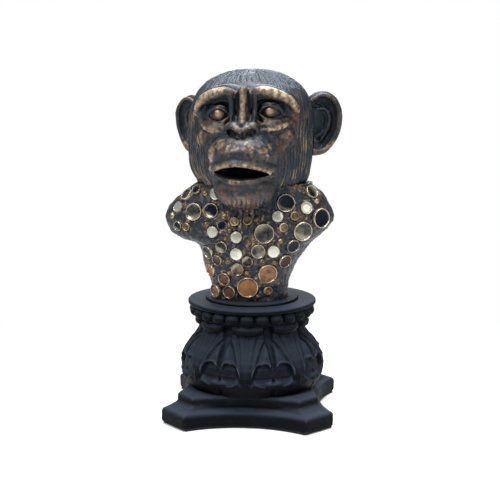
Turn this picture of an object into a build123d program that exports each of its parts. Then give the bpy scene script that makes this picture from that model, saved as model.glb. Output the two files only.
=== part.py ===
from build123d import *

import os
from math import asin, cos, degrees, exp, pi, radians, sin

# Ape bust on a leaf pedestal: a cast resin table ornament, modelled piece by piece
# Frame: millimetres, +Z up, the face looks along -Y, the origin is the centre of the foot felt's underside
# The castings are hollow and are bonded one on another: plinth, leaf drum, bead course, cap, torso, head

# Fits between bonded castings
GLUE_GAP = 0.2
OVERRUN = 2.0

# Foot felt and plinth
FELT_THICKNESS = 2.0
FELT_INSET = 2.0
PLINTH_WIDTH = 148.0
PLINTH_CORNER_FACE = 32.0
PLINTH_SIDE_DIP = 14.0
SLAB_HEIGHT = 12.0
WEATHERING_HEIGHT = 5.0
STEP_WIDTH = 122.0
STEP_CORNER_FACE = 22.0
STEP_SIDE_DIP = 7.0
STEP_HEIGHT = 7.0
PLINTH_BORE_DIAMETER = 74.0
PLINTH_EDGE_BEVEL = 1.5
COVE_INSET_SHARE = 0.6
COVE_HEIGHT_SHARE = 0.3

# Leaf drum
DRUM_HEIGHT = 60.0
DRUM_FOOT_DIAMETER = 108.0
DRUM_BELLY_DIAMETER = 118.0
DRUM_NECK_DIAMETER = 82.0
DRUM_WALL = 9.0
DRUM_BELLY_HEIGHT_SHARE = 0.30
DRUM_NECK_HEIGHT_SHARE = 0.84
LEAF_COUNT = 8
LEAF_RELIEF = 4.5
LEAF_ROOT_DEPTH = 3.0
LEAF_WIDTH = 46.0
LEAF_FLUTE_WIDTH = 2.2
LEAF_FLUTE_DEPTH = 2.0
LEAF_TIP_WIDTH = 32.0
LEAF_TIP_REACH = 12.0
LEAF_TIP_HEIGHT = 8.0
POCKET_WIDTH = 11.0
POCKET_HEIGHT = 18.0
POCKET_DEPTH = 3.6
POCKET_SPACING = 31.0
CURL_DIAMETER = 9.0
CURL_SPACING = 40.0
SPIGOT_HEIGHT = 6.0

# A leaf's right edge, as shares of its half-width and of the drum's height
LEAF_EDGE_SHARES = [
    (0.62, 0.0), (0.90, 0.12), (0.94, 0.22), (1.00, 0.36),
    (0.95, 0.50), (0.83, 0.64), (0.72, 0.80), (0.70, 1.0),
]

# Where the flutes end at the top, as shares of the half-width, and their three heights and spreads
FLUTE_SHARES = [-0.58, -0.22, 0.22, 0.58]
FLUTE_FAN_SHARES = [(0.20, 0.18), (0.50, 0.50), (1.00, 0.84)]
POCKET_HEIGHT_SHARE = 0.36
CURL_HEIGHT_SHARE = 0.13

# Bead course and cap
CAP_DIAMETER = 113.0
CAP_THICKNESS = 4.0
CAP_EDGE_ROUND = 1.6
BEAD_COUNT = 25
BEAD_WIDTH = 12.3
BEAD_HEIGHT = 9.4
BEAD_DEPTH = 10.0
BEAD_CIRCLE_DIAMETER = 101.0
BEAD_BAND_HEIGHT = 11.0
BEAD_BAND_DIAMETER = 97.0
BEAD_BAND_THICKNESS = 6.0
SEAT_DIAMETER = 82.0
SEAT_HEIGHT = 2.5

# Torso
TORSO_HEIGHT = 100.5
TORSO_WIDTH = 152.0
TORSO_FRONT = 38.0
TORSO_BACK = 33.0
TORSO_WALL = 9.0
FOOT_SPIGOT_DIAMETER = 44.0
FOOT_SPIGOT_HEIGHT = 5.0
NECK_SPIGOT_DIAMETER = 40.0
NECK_SPIGOT_HEIGHT = 10.0

# Each torso section: height share, half-width shares to the viewer's left and right, front share, back share
TORSO_SECTION_SHARES = [
    (0.00, 0.48, 0.43, 0.84, 0.86),
    (0.10, 0.49, 0.43, 0.86, 0.86),
    (0.24, 0.53, 0.48, 0.92, 0.88),
    (0.36, 0.57, 0.565, 0.97, 0.92),
    (0.445, 0.60, 0.65, 1.00, 0.95),
    (0.485, 0.66, 0.69, 1.00, 0.96),
    (0.515, 0.80, 0.73, 1.00, 0.96),
    (0.55, 0.90, 0.79, 0.99, 0.97),
    (0.61, 0.965, 0.87, 0.98, 0.98),
    (0.69, 1.00, 0.94, 0.95, 1.00),
    (0.77, 0.97, 0.92, 0.92, 1.00),
    (0.85, 0.88, 0.86, 0.89, 1.00),
    (0.925, 0.76, 0.79, 0.87, 1.00),
    (1.00, 0.63, 0.70, 0.86, 1.00),
]
TORSO_SQUARENESS = 2.3

# Head
HEAD_HEIGHT = 97.0
HEAD_WIDTH = 105.0
HEAD_FRONT = 46.0
HEAD_BACK = 53.0
HEAD_TURN = -4.0
HEAD_SQUARENESS = 2.1
HEAD_CAVITY_SHARES = (0.58, 0.48, 0.62)
NECK_BORE_DIAMETER = 24.0
MUZZLE_REACH = 25.0
MUZZLE_WIDTH = 64.0
MUZZLE_BLUNTNESS = 3

# Each head section: height share, half-width shares to the viewer's left and right, front, back, muzzle
HEAD_SECTION_SHARES = [
    (0.00, 0.90, 0.88, 0.74, 0.66, 0.70),
    (0.09, 0.99, 0.95, 0.85, 0.80, 0.92),
    (0.19, 1.04, 0.98, 0.92, 0.90, 1.00),
    (0.31, 1.05, 1.00, 0.95, 0.96, 0.92),
    (0.42, 1.05, 1.00, 0.96, 0.99, 0.60),
    (0.52, 1.04, 1.00, 0.97, 1.00, 0.26),
    (0.62, 1.02, 0.99, 0.98, 1.00, 0.08),
    (0.72, 0.96, 0.945, 0.99, 0.97, 0.00),
    (0.81, 0.87, 0.86, 0.89, 0.88, 0.00),
    (0.89, 0.72, 0.71, 0.71, 0.73, 0.00),
    (0.95, 0.51, 0.51, 0.49, 0.52, 0.00),
    (0.985, 0.285, 0.285, 0.27, 0.29, 0.00),
    (1.00, 0.08, 0.08, 0.08, 0.08, 0.00),
]

# Grooves between the locks of hair, from the crown down the sides and back, and short ones above the brow
LOCK_SPACING = 17.0
LOCK_GROOVE_WIDTH = 2.4
LOCK_GROOVE_DEPTH = 1.4
LOCK_FOOT_SHARE = 0.09
FRINGE_FOOT_SHARE = 0.88
HAIRLINE_TURN = 64.0

# Face, with heights above the head's seat
EYE_DIAMETER = 19.0
EYE_SPACING = 43.0
EYE_HEIGHT = 61.5
RIGHT_EYE_DROP = 2.5
EYE_PROUD = 1.0
SOCKET_WIDTH = 31.0
SOCKET_HEIGHT = 23.0
SOCKET_DEPTH = 7.0
SOCKET_GAP = 0.2
LID_THICKNESS = 2.0
LID_OPENING_WIDTH = 18.0
LID_OPENING_HEIGHT = 11.0
BROW_THICKNESS = 11.0
BROW_SPAN = 88.0
BROW_RISE = 16.0
BROW_SINK_SHARE = 0.25
FURROW_SPACING = 12.0
FURROW_WIDTH = 4.0
FURROW_HEIGHT = 26.0
FURROW_DEPTH = 4.0
NOSE_WIDTH = 30.0
NOSE_THICKNESS = 13.0
NOSE_HEIGHT = 48.0
NOSTRIL_WIDTH = 10.0
NOSTRIL_HEIGHT = 6.0
NOSTRIL_DEPTH = 6.0
BAG_WIDTH = 27.0
BAG_THICKNESS = 5.0
BAG_DROP = 15.0
MOUTH_WIDTH = 52.0
MOUTH_OPENING = 10.0
MOUTH_DEPTH = 12.0
MOUTH_HEIGHT = 13.5
LIP_THICKNESS = 6.0
JAW_WIDTH = 56.0
JAW_HEIGHT = 42.0
JAW_DROP = 18.0
JAW_REACH = 60.0
JAW_THICKNESS = 50.0
THROAT_GAP = 0.6
THROAT_SHARE = 0.75

# Ears, measured from the head's axis
EAR_WIDTH = 40.0
EAR_HEIGHT = 57.0
EAR_THICKNESS = 19.0
EAR_SPAN = 154.0
EAR_CENTRE_HEIGHT = 51.0
EAR_SETBACK = 8.0
EAR_LEAN = 12.0
LEFT_EAR_SWEEP = 10.0
RIGHT_EAR_SWEEP = 32.0
EAR_RIM = 5.0
EAR_DISH = 6.0
EAR_FOLD_THICKNESS = 4.0
LOBE_DIAMETER = 15.0

# Discs bonded to the chest: a flat mirror, a cup with a raised rim, a washer, a domed stud
DISC_HEIGHT = 1.8
DISC_BED = 2.0
DISC_GAP = 0.6
EDGE_SHARE = 0.96
SEAT_CLEARANCE = 0.15
RIM_WIDTH = 1.1
RIM_HEIGHT = 1.2
WASHER_HOLE_SHARE = 0.5
LARGE_CUP = 17.0
MEDIUM_CUP = 12.0
SMALL_CUP = 9.5
WIDE_CUP = 22.0
MIRROR = 11.0
WASHER = 8.0
STUD = 4.6

# Where the discs sit in a front view of 500 by 500 pixels
VIEW_AXIS_COLUMN = 249
VIEW_HALF_SPAN = 90
VIEW_TOP_ROW = 182
VIEW_FOOT_ROW = 295
VIEW_FRONT_DROP = 7
WIDE_CUP_PIXELS = [(193, 214), (248, 287)]
LARGE_CUP_PIXELS = [(265, 234), (286, 205), (321, 218), (303, 231), (268, 273), (211, 213)]
MEDIUM_CUP_PIXELS = [
    (184, 197), (311, 192), (222, 247), (259, 251), (238, 269), (224, 279), (285, 260),
    (229, 292), (214, 291), (293, 245), (209, 270), (207, 252),
]
SMALL_CUP_PIXELS = [(195, 190), (176, 227), (223, 227), (217, 260), (248, 261)]
MIRROR_PIXELS = [
    (176, 209), (216, 197), (213, 233), (237, 254), (237, 238), (274, 251), (278, 218), (306, 209),
]
WASHER_PIXELS = [(235, 223), (284, 228), (295, 217), (268, 290), (185, 228), (248, 222)]
STUD_PIXELS = [
    (169, 217), (184, 208), (204, 196), (224, 216), (230, 232), (257, 221), (250, 243), (275, 262),
    (228, 262), (247, 273), (316, 202), (258, 296), (226, 239), (281, 241), (263, 261), (206, 226),
]

# Heights worked out from the stack
SLAB_Z = FELT_THICKNESS
WEATHERING_Z = SLAB_Z + SLAB_HEIGHT
STEP_Z = WEATHERING_Z + WEATHERING_HEIGHT
DRUM_Z = STEP_Z + STEP_HEIGHT
BEAD_Z = DRUM_Z + DRUM_HEIGHT
CAP_Z = BEAD_Z + BEAD_BAND_HEIGHT
SEAT_Z = CAP_Z + CAP_THICKNESS
TORSO_Z = SEAT_Z + SEAT_HEIGHT
HEAD_Z = TORSO_Z + TORSO_HEIGHT

SECTION_POINTS = 36
NORMAL_TURN = 0.08


def ellipsoid(width, depth, height):
    """A ball stretched to three full sizes."""
    return scale(Sphere(1), by=(width / 2, depth / 2, height / 2))


def rod(path, diameter):
    """A round bar along a path, with ball ends."""
    section = Plane(origin=path @ 0, z_dir=path % 0) * Circle(diameter / 2)
    bar = sweep(section, path=path)
    return bar + [Pos(*(path @ end)) * Sphere(diameter / 2) for end in (0, 1)]


def section_point(turn, left, right, front, back, squareness):
    """A place on a rounded outline, turned from the front towards the viewer's right."""
    across, ahead = sin(turn), cos(turn)
    x = abs(across) ** (2 / squareness) * (right if across > 0 else -left)
    y = abs(ahead) ** (2 / squareness) * (-front if ahead > 0 else back)
    return x, y


def section_face(left, right, front, back, squareness, height):
    """A closed outline round the axis."""
    points = []
    for step in range(SECTION_POINTS):
        turn = 2 * pi * step / SECTION_POINTS
        points.append((*section_point(turn, left, right, front, back, squareness), height))
    return make_face(Spline(points, periodic=True))


def surface_point(solid, start, direction):
    """Where a line from start leaves the solid, with the outward normal there."""
    hits = solid.find_intersection_points(Axis(start, direction))
    way = Vector(*direction)
    return max(hits, key=lambda hit: (hit[0] - Vector(*start)).dot(way))


# Plinth and felt


def plinth_outline(width, corner_face, side_dip):
    """A square with cut corners and sides that curve in."""
    half = width / 2
    run = half - corner_face / 2**0.5
    edges = []
    for quarter in range(4):
        turn = Rot(0, 0, 90 * quarter)
        edges.append(turn * ThreePointArc((-run, -half), (0, side_dip - half), (run, -half)))
        edges.append(turn * Line((run, -half), (half, -run)))
    return make_face(edges)


def make_felt():
    outline = plinth_outline(PLINTH_WIDTH - 2 * FELT_INSET, PLINTH_CORNER_FACE, PLINTH_SIDE_DIP)
    return extrude(outline, FELT_THICKNESS)


def slab_outline(inset=0):
    return plinth_outline(PLINTH_WIDTH - 2 * inset, PLINTH_CORNER_FACE - inset, PLINTH_SIDE_DIP)


def step_outline(inset=0):
    return plinth_outline(STEP_WIDTH - 2 * inset, STEP_CORNER_FACE - inset, STEP_SIDE_DIP)


def make_plinth():
    """The slab, its hollowed weathering and the upper step, then the spigot that carries the drum."""
    cove_inset = COVE_INSET_SHARE * (PLINTH_WIDTH - STEP_WIDTH) / 2
    sections = [
        (SLAB_Z, slab_outline()),
        (WEATHERING_Z - PLINTH_EDGE_BEVEL, slab_outline()),
        (WEATHERING_Z, slab_outline(PLINTH_EDGE_BEVEL)),
        (WEATHERING_Z + COVE_HEIGHT_SHARE * WEATHERING_HEIGHT, slab_outline(cove_inset)),
        (STEP_Z, step_outline()),
        (DRUM_Z - PLINTH_EDGE_BEVEL, step_outline()),
        (DRUM_Z, step_outline(PLINTH_EDGE_BEVEL)),
    ]
    body = loft([Pos(0, 0, height) * outline for height, outline in sections], ruled=True)
    spigot_radius = drum_bore_radius() - GLUE_GAP
    spigot = Pos(0, 0, DRUM_Z) * extrude(Circle(spigot_radius), SPIGOT_HEIGHT)
    bore = Pos(0, 0, SLAB_Z) * extrude(Circle(PLINTH_BORE_DIAMETER / 2), DRUM_Z + SPIGOT_HEIGHT)
    return body + spigot - bore


# Leaf drum


def drum_bore_radius():
    return DRUM_FOOT_DIAMETER / 2 - DRUM_WALL


def drum_profile(swell):
    """The drum's turned outline, swollen outwards by a wall of that much."""
    foot = DRUM_FOOT_DIAMETER / 2 + swell
    belly = DRUM_BELLY_DIAMETER / 2 + swell
    neck = DRUM_NECK_DIAMETER / 2 + swell
    curve = Spline(
        (foot, 0, DRUM_Z),
        (belly, 0, DRUM_Z + DRUM_BELLY_HEIGHT_SHARE * DRUM_HEIGHT),
        (neck, 0, DRUM_Z + DRUM_NECK_HEIGHT_SHARE * DRUM_HEIGHT),
        (neck, 0, DRUM_Z + DRUM_HEIGHT),
    )
    edges = curve + Polyline(
        (neck, 0, DRUM_Z + DRUM_HEIGHT), (0, 0, DRUM_Z + DRUM_HEIGHT), (0, 0, DRUM_Z), (foot, 0, DRUM_Z)
    )
    return revolve(make_face(edges), axis=Axis.Z)


def leaf_outline():
    """A leaf seen from the front: narrow at the foot, broad at the belly, drawn in at the neck."""
    right = [(x * LEAF_WIDTH / 2, y * DRUM_HEIGHT) for x, y in LEAF_EDGE_SHARES]
    left = [(-x, y) for x, y in reversed(right)]
    edges = Spline(right) + Line(right[-1], left[0]) + Spline(left) + Line(left[-1], right[0])
    return make_face(edges)


def leaf_plane():
    """The plane on which leaf outlines are drawn, facing the front."""
    return Plane(origin=(0, 0, DRUM_Z), x_dir=(1, 0, 0), z_dir=(0, -1, 0))


def leaf_reach():
    return DRUM_BELLY_DIAMETER / 2 + LEAF_RELIEF + OVERRUN


def flute_cutter(share):
    """A groove that fans out from the leaf's foot, cut to one depth below its face."""
    points = [(share * x * LEAF_WIDTH / 2, y * DRUM_HEIGHT) for x, y in FLUTE_FAN_SHARES]
    slot = trace(Spline(points), LEAF_FLUTE_WIDTH)
    return leaf_plane() * extrude(slot, leaf_reach())


def on_belly(form, spacing, height_share):
    """A form and its mirror, set on the leaf's face at that spacing."""
    radius = DRUM_BELLY_DIAMETER / 2 + LEAF_RELIEF
    turn = degrees(asin(spacing / 2 / radius))
    place = Pos(0, -radius, DRUM_Z + height_share * DRUM_HEIGHT) * form
    return [Rot(0, 0, side * turn) * place for side in (-1, 1)]


def make_leaf():
    """One leaf: the part of a swollen drum that its outline covers, fluted, hollowed and curled."""
    prism = leaf_plane() * extrude(leaf_outline(), leaf_reach())
    core = Pos(0, 0, DRUM_Z) * extrude(Circle(DRUM_NECK_DIAMETER / 2 - LEAF_ROOT_DEPTH), DRUM_HEIGHT)
    leaf = drum_profile(LEAF_RELIEF) & prism - core
    floor = drum_profile(LEAF_RELIEF - LEAF_FLUTE_DEPTH)
    pocket = ellipsoid(POCKET_WIDTH, 2 * POCKET_DEPTH, POCKET_HEIGHT)
    leaf = leaf - [flute_cutter(share) - floor for share in FLUTE_SHARES]
    leaf = leaf - on_belly(pocket, POCKET_SPACING, POCKET_HEIGHT_SHARE)
    curl = Pos(0, LEAF_RELIEF / 2, 0) * Sphere(CURL_DIAMETER / 2)
    tip = ellipsoid(LEAF_TIP_WIDTH, LEAF_TIP_REACH, LEAF_TIP_HEIGHT)
    tip_z = BEAD_Z - LEAF_TIP_HEIGHT / 2 - GLUE_GAP
    tip = Pos(0, -DRUM_NECK_DIAMETER / 2 - LEAF_RELIEF, tip_z) * tip
    return leaf + [tip, *on_belly(curl, CURL_SPACING, CURL_HEIGHT_SHARE)]


def make_drum():
    leaf = make_leaf()
    leaves = [Rot(0, 0, 360 * i / LEAF_COUNT) * leaf for i in range(LEAF_COUNT)]
    mouth = Pos(0, 0, BEAD_Z - SPIGOT_HEIGHT) * extrude(Circle(neck_bore_radius()), SPIGOT_HEIGHT)
    return drum_profile(0) + leaves - [drum_profile(-DRUM_WALL), mouth]


# Bead course and cap


def neck_bore_radius():
    return DRUM_NECK_DIAMETER / 2 - DRUM_WALL


def band_radius():
    return BEAD_BAND_DIAMETER / 2 - BEAD_BAND_THICKNESS


def make_beads():
    """A ring of beads on a band, seated round the cap's drum."""
    band = extrude(Circle(BEAD_BAND_DIAMETER / 2), BEAD_BAND_HEIGHT)
    bead = ellipsoid(BEAD_WIDTH, BEAD_DEPTH, BEAD_HEIGHT)
    bead = Pos(0, -BEAD_CIRCLE_DIAMETER / 2, BEAD_BAND_HEIGHT / 2) * bead
    beads = [Rot(0, 0, 360 * i / BEAD_COUNT) * bead for i in range(BEAD_COUNT)]
    return Pos(0, 0, BEAD_Z) * (band + beads - extrude(Circle(band_radius()), BEAD_BAND_HEIGHT))


def make_cap():
    disc = Pos(0, 0, CAP_Z) * extrude(Circle(CAP_DIAMETER / 2), CAP_THICKNESS)
    disc = fillet(disc.edges(), CAP_EDGE_ROUND)
    seat = Pos(0, 0, SEAT_Z) * extrude(Circle(SEAT_DIAMETER / 2), SEAT_HEIGHT)
    seat = fillet(seat.edges().group_by(Axis.Z)[-1], SEAT_HEIGHT / 2)
    hub = Pos(0, 0, BEAD_Z) * extrude(Circle(band_radius() - GLUE_GAP), BEAD_BAND_HEIGHT)
    spigot_z = BEAD_Z - SPIGOT_HEIGHT
    spigot = Pos(0, 0, spigot_z) * extrude(Circle(neck_bore_radius() - GLUE_GAP), SPIGOT_HEIGHT)
    socket = Pos(0, 0, spigot_z) * extrude(Circle(FOOT_SPIGOT_DIAMETER / 2 + GLUE_GAP), TORSO_Z)
    return disc + seat + hub + spigot - socket


# Torso


def torso_sizes(shares):
    """The left, right, front and back reach of a torso section."""
    sizes = (TORSO_WIDTH / 2, TORSO_WIDTH / 2, TORSO_FRONT, TORSO_BACK)
    return [share * size for share, size in zip(shares, sizes)]


def torso_sizes_at(height_share):
    """The reach at any height, between the two sections round it."""
    rows = TORSO_SECTION_SHARES
    low = max(row for row in rows if row[0] <= height_share)
    high = min(row for row in rows if row[0] >= height_share)
    part = 0 if high[0] == low[0] else (height_share - low[0]) / (high[0] - low[0])
    return torso_sizes([a + part * (b - a) for a, b in zip(low[1:], high[1:])])


def make_torso_skin():
    faces = []
    for height_share, *shares in TORSO_SECTION_SHARES:
        height = TORSO_Z + height_share * TORSO_HEIGHT
        faces.append(section_face(*torso_sizes(shares), TORSO_SQUARENESS, height))
    return loft(faces)


def make_torso(skin, discs):
    """The bust's body, with flat seats for the discs and sockets at the foot and the neck."""
    foot_z = TORSO_Z - FOOT_SPIGOT_HEIGHT
    spigot = Pos(0, 0, foot_z) * extrude(Circle(FOOT_SPIGOT_DIAMETER / 2), FOOT_SPIGOT_HEIGHT)
    cavity_radius = FOOT_SPIGOT_DIAMETER / 2 - TORSO_WALL / 2
    cavity = Pos(0, 0, foot_z) * extrude(Circle(cavity_radius), TORSO_HEIGHT + FOOT_SPIGOT_HEIGHT)
    socket = Pos(0, 0, HEAD_Z - NECK_SPIGOT_HEIGHT - GLUE_GAP) * extrude(
        Circle(NECK_SPIGOT_DIAMETER / 2 + GLUE_GAP), NECK_SPIGOT_HEIGHT + OVERRUN
    )
    seats = []
    for node, form, plane, diameter in discs:
        seat = extrude(Circle(diameter / 2 + SEAT_CLEARANCE), DISC_BED + DISC_HEIGHT + OVERRUN)
        seats.append(plane * Pos(0, 0, -DISC_BED) * seat)
    return skin + spigot - [cavity, socket, *seats]


# Head


def head_section(shares, height, swell):
    """One outline of the head, with the muzzle's bulge at the front."""
    left_share, right_share, front_share, back_share, muzzle_share = shares
    left = left_share * HEAD_WIDTH / 2 + swell
    right = right_share * HEAD_WIDTH / 2 + swell
    back = back_share * HEAD_BACK + swell
    points = []
    for step in range(SECTION_POINTS):
        turn = 2 * pi * (step / SECTION_POINTS - 0.5)
        x = section_point(turn, left, right, 1, 1, HEAD_SQUARENESS)[0]
        bulge = muzzle_share * MUZZLE_REACH * exp(-abs(2 * x / MUZZLE_WIDTH) ** MUZZLE_BLUNTNESS)
        front = front_share * HEAD_FRONT + swell + bulge
        y = section_point(turn, left, right, front, back, HEAD_SQUARENESS)[1]
        points.append((x, y, height))
    return make_face(Spline(points, periodic=True))


def make_head_skin(swell=0):
    """The head's main form, swollen outwards by that much."""
    faces = [head_section(shares, share * HEAD_HEIGHT, swell) for share, *shares in HEAD_SECTION_SHARES]
    return loft(faces)


def on_face(skin, x, height):
    """The point of the face at that width and height."""
    return surface_point(skin, (x, 0, height), (0, -1, 0))[0]


def face_arc(skin, start, middle, end):
    """An arc through three places of the face, each given as width, height and how far it stands proud."""
    points = []
    for x, height, proud in (start, middle, end):
        points.append(on_face(skin, x, height) + Vector(0, -proud, 0))
    return ThreePointArc(*points)


def eye_height(side):
    """The right eye, brow and bag hang a little lower than the left."""
    return EYE_HEIGHT if side > 0 else EYE_HEIGHT - RIGHT_EYE_DROP


def eye_centre(skin, side):
    place = on_face(skin, side * EYE_SPACING / 2, eye_height(side))
    return place + Vector(0, EYE_DIAMETER / 2 - EYE_PROUD, 0)


def brow(skin, side):
    sink = -BROW_SINK_SHARE * BROW_THICKNESS
    top = EYE_HEIGHT + BROW_RISE
    path = face_arc(
        skin,
        (side * FURROW_SPACING / 2, top, sink),
        (side * BROW_SPAN / 4, top, sink),
        (side * (BROW_SPAN - BROW_THICKNESS) / 2, eye_height(side) + BROW_THICKNESS / 4, sink),
    )
    return rod(path, BROW_THICKNESS)


def eye_bag(skin, side):
    middle = side * EYE_SPACING / 2
    low = eye_height(side) - BAG_DROP
    path = face_arc(
        skin,
        (middle - side * BAG_WIDTH / 2, low + BAG_THICKNESS / 2, 0),
        (middle, low, 0),
        (middle + side * BAG_WIDTH / 2, low + BAG_THICKNESS, 0),
    )
    return rod(path, BAG_THICKNESS)


def make_lids(skin, side):
    """The upper and lower lids, as bars that arch over the eyeball between its corners."""
    centre = eye_centre(skin, side)
    radius = EYE_DIAMETER / 2
    corner_depth = (radius**2 - (LID_OPENING_WIDTH / 2) ** 2) ** 0.5
    arch_depth = (radius**2 - (LID_OPENING_HEIGHT / 2) ** 2) ** 0.5
    lids = []
    for way in (-1, 1):
        path = ThreePointArc(
            centre + Vector(-LID_OPENING_WIDTH / 2, -corner_depth, way * LID_THICKNESS / 2),
            centre + Vector(0, -arch_depth, way * (LID_OPENING_HEIGHT + LID_THICKNESS) / 2),
            centre + Vector(LID_OPENING_WIDTH / 2, -corner_depth, way * LID_THICKNESS / 2),
        )
        lids.append(rod(path, 2 * LID_THICKNESS))
    return lids


def make_nose(skin):
    tip = on_face(skin, 0, NOSE_HEIGHT)
    wing = ellipsoid(NOSE_WIDTH / 2, NOSE_THICKNESS, NOSE_THICKNESS)
    pieces = [Pos(side * NOSE_WIDTH / 4, tip.Y, tip.Z) * wing for side in (-1, 1)]
    bridge_top = EYE_HEIGHT + BROW_RISE
    bridge = rod(
        Line(on_face(skin, 0, bridge_top), on_face(skin, 0, NOSE_HEIGHT)), FURROW_SPACING - FURROW_WIDTH
    )
    return pieces + [bridge]


def nostrils(skin):
    tip = on_face(skin, 0, NOSE_HEIGHT)
    hole = ellipsoid(NOSTRIL_WIDTH, 2 * NOSTRIL_DEPTH, NOSTRIL_HEIGHT)
    front = tip.Y - NOSE_THICKNESS / 2
    return [Pos(side * NOSE_WIDTH / 4, front, tip.Z - NOSE_THICKNESS / 4) * hole for side in (-1, 1)]


def furrows(skin):
    groove = ellipsoid(FURROW_WIDTH, 2 * FURROW_DEPTH, FURROW_HEIGHT)
    height = EYE_HEIGHT + BROW_RISE / 2
    cuts = []
    for side in (-1, 1):
        place = on_face(skin, side * FURROW_SPACING / 2, height)
        cuts.append(Pos(place.X, place.Y - FURROW_DEPTH / 2, place.Z) * groove)
    return cuts


def make_lips(skin):
    """The upper and lower lips, as bars round the front of the muzzle that part at the corners."""
    sink = -LIP_THICKNESS / 4
    lips = []
    for side in (-1, 1):
        corner = MOUTH_HEIGHT + side * LIP_THICKNESS / 4
        middle = MOUTH_HEIGHT + side * (MOUTH_OPENING + LIP_THICKNESS) / 2
        places = [(-MOUTH_WIDTH / 2, corner, sink), (0, middle, sink), (MOUTH_WIDTH / 2, corner, sink)]
        lips.append(rod(face_arc(skin, *places), LIP_THICKNESS))
    return lips


def mouth(skin):
    front = on_face(skin, 0, MOUTH_HEIGHT)
    opening = ellipsoid(MOUTH_WIDTH, 2 * MOUTH_DEPTH + LIP_THICKNESS, MOUTH_OPENING)
    return Pos(0, front.Y - LIP_THICKNESS / 2, MOUTH_HEIGHT) * opening


def head_reach(shares, turn):
    """How far a head section reaches from the axis, turned from the front towards the viewer's right."""
    left, right, front, back, _ = shares
    across, ahead = sin(turn), cos(turn)
    width = (right if across > 0 else left) * HEAD_WIDTH / 2
    depth = front * HEAD_FRONT if ahead > 0 else back * HEAD_BACK
    total = (abs(across) / width) ** HEAD_SQUARENESS + (abs(ahead) / depth) ** HEAD_SQUARENESS
    return total ** (-1 / HEAD_SQUARENESS)


def lock_groove(turn, foot_share):
    """An upright slot outwards from the crown, its floor under the skin by the groove's depth."""
    floor = []
    for share, *shares in HEAD_SECTION_SHARES[:-1]:
        if share >= foot_share:
            floor.append((head_reach(shares, radians(turn)) - LOCK_GROOVE_DEPTH, share * HEAD_HEIGHT))
    top = HEAD_HEIGHT + OVERRUN
    outline = [(HEAD_WIDTH, floor[0][1]), *floor, (floor[-1][0], top), (HEAD_WIDTH, top)]
    plate = extrude(Plane.XZ * make_face(Polyline(outline, close=True)), LOCK_GROOVE_WIDTH / 2, both=True)
    return Rot(0, 0, turn - 90) * plate


def lock_grooves():
    """Grooves spaced evenly round the hair, with the short ones of the fringe in front."""
    hair = 360 - 2 * HAIRLINE_TURN
    round_head = pi * HEAD_WIDTH / LOCK_SPACING / 360
    count = round(hair * round_head)
    fringe_count = round(2 * HAIRLINE_TURN * round_head)
    grooves = []
    for i in range(count):
        grooves.append(lock_groove(HAIRLINE_TURN + hair * (i + 0.5) / count, LOCK_FOOT_SHARE))
    for i in range(fringe_count):
        grooves.append(lock_groove(2 * HAIRLINE_TURN * ((i + 0.5) / fringe_count - 0.5), FRINGE_FOOT_SHARE))
    return grooves


def make_jaw():
    """The chin, hung in front of the throat."""
    chin = ellipsoid(JAW_WIDTH, JAW_THICKNESS, JAW_HEIGHT)
    chin = Pos(0, JAW_THICKNESS / 2 - JAW_REACH, JAW_HEIGHT / 2 - JAW_DROP) * chin
    throat_front = max(row[3] for row in TORSO_SECTION_SHARES if row[0] > THROAT_SHARE) * TORSO_FRONT
    behind = Pos(0, -throat_front - THROAT_GAP, 0) * Box(
        2 * JAW_WIDTH, 2 * JAW_THICKNESS, 2 * JAW_DROP, align=(Align.CENTER, Align.MIN, Align.MAX)
    )
    return chin - behind


def head_place():
    return Pos(0, 0, HEAD_Z) * Rot(0, 0, HEAD_TURN)


def make_head(skin):
    head = skin + [make_jaw(), brow(skin, -1), brow(skin, 1), *make_nose(skin), *make_lips(skin)]
    socket = ellipsoid(SOCKET_WIDTH, 2 * SOCKET_DEPTH, SOCKET_HEIGHT)
    for side in (-1, 1):
        place = on_face(skin, side * EYE_SPACING / 2, eye_height(side))
        head = head - Pos(*place) * socket
        head = head + [*make_lids(skin, side), eye_bag(skin, side)]
    head = head - [*furrows(skin), *nostrils(skin), mouth(skin)]
    for side in (-1, 1):
        head = head - Pos(*eye_centre(skin, side)) * Sphere(EYE_DIAMETER / 2 + SOCKET_GAP)
    spigot = Pos(0, 0, -NECK_SPIGOT_HEIGHT) * extrude(Circle(NECK_SPIGOT_DIAMETER / 2), NECK_SPIGOT_HEIGHT)
    sizes = (HEAD_WIDTH, HEAD_FRONT + HEAD_BACK, HEAD_HEIGHT)
    cavity = ellipsoid(*[share * size for share, size in zip(HEAD_CAVITY_SHARES, sizes)])
    cavity = Pos(0, (HEAD_BACK - HEAD_FRONT) / 2, HEAD_HEIGHT / 2) * cavity
    bore = Pos(0, 0, -NECK_SPIGOT_HEIGHT) * extrude(
        Circle(NECK_BORE_DIAMETER / 2), NECK_SPIGOT_HEIGHT + HEAD_HEIGHT / 2
    )
    head = head + spigot - cavity - bore
    return head - lock_grooves()


def make_eye(skin, side):
    return Pos(*eye_centre(skin, side)) * Sphere(EYE_DIAMETER / 2)


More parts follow.
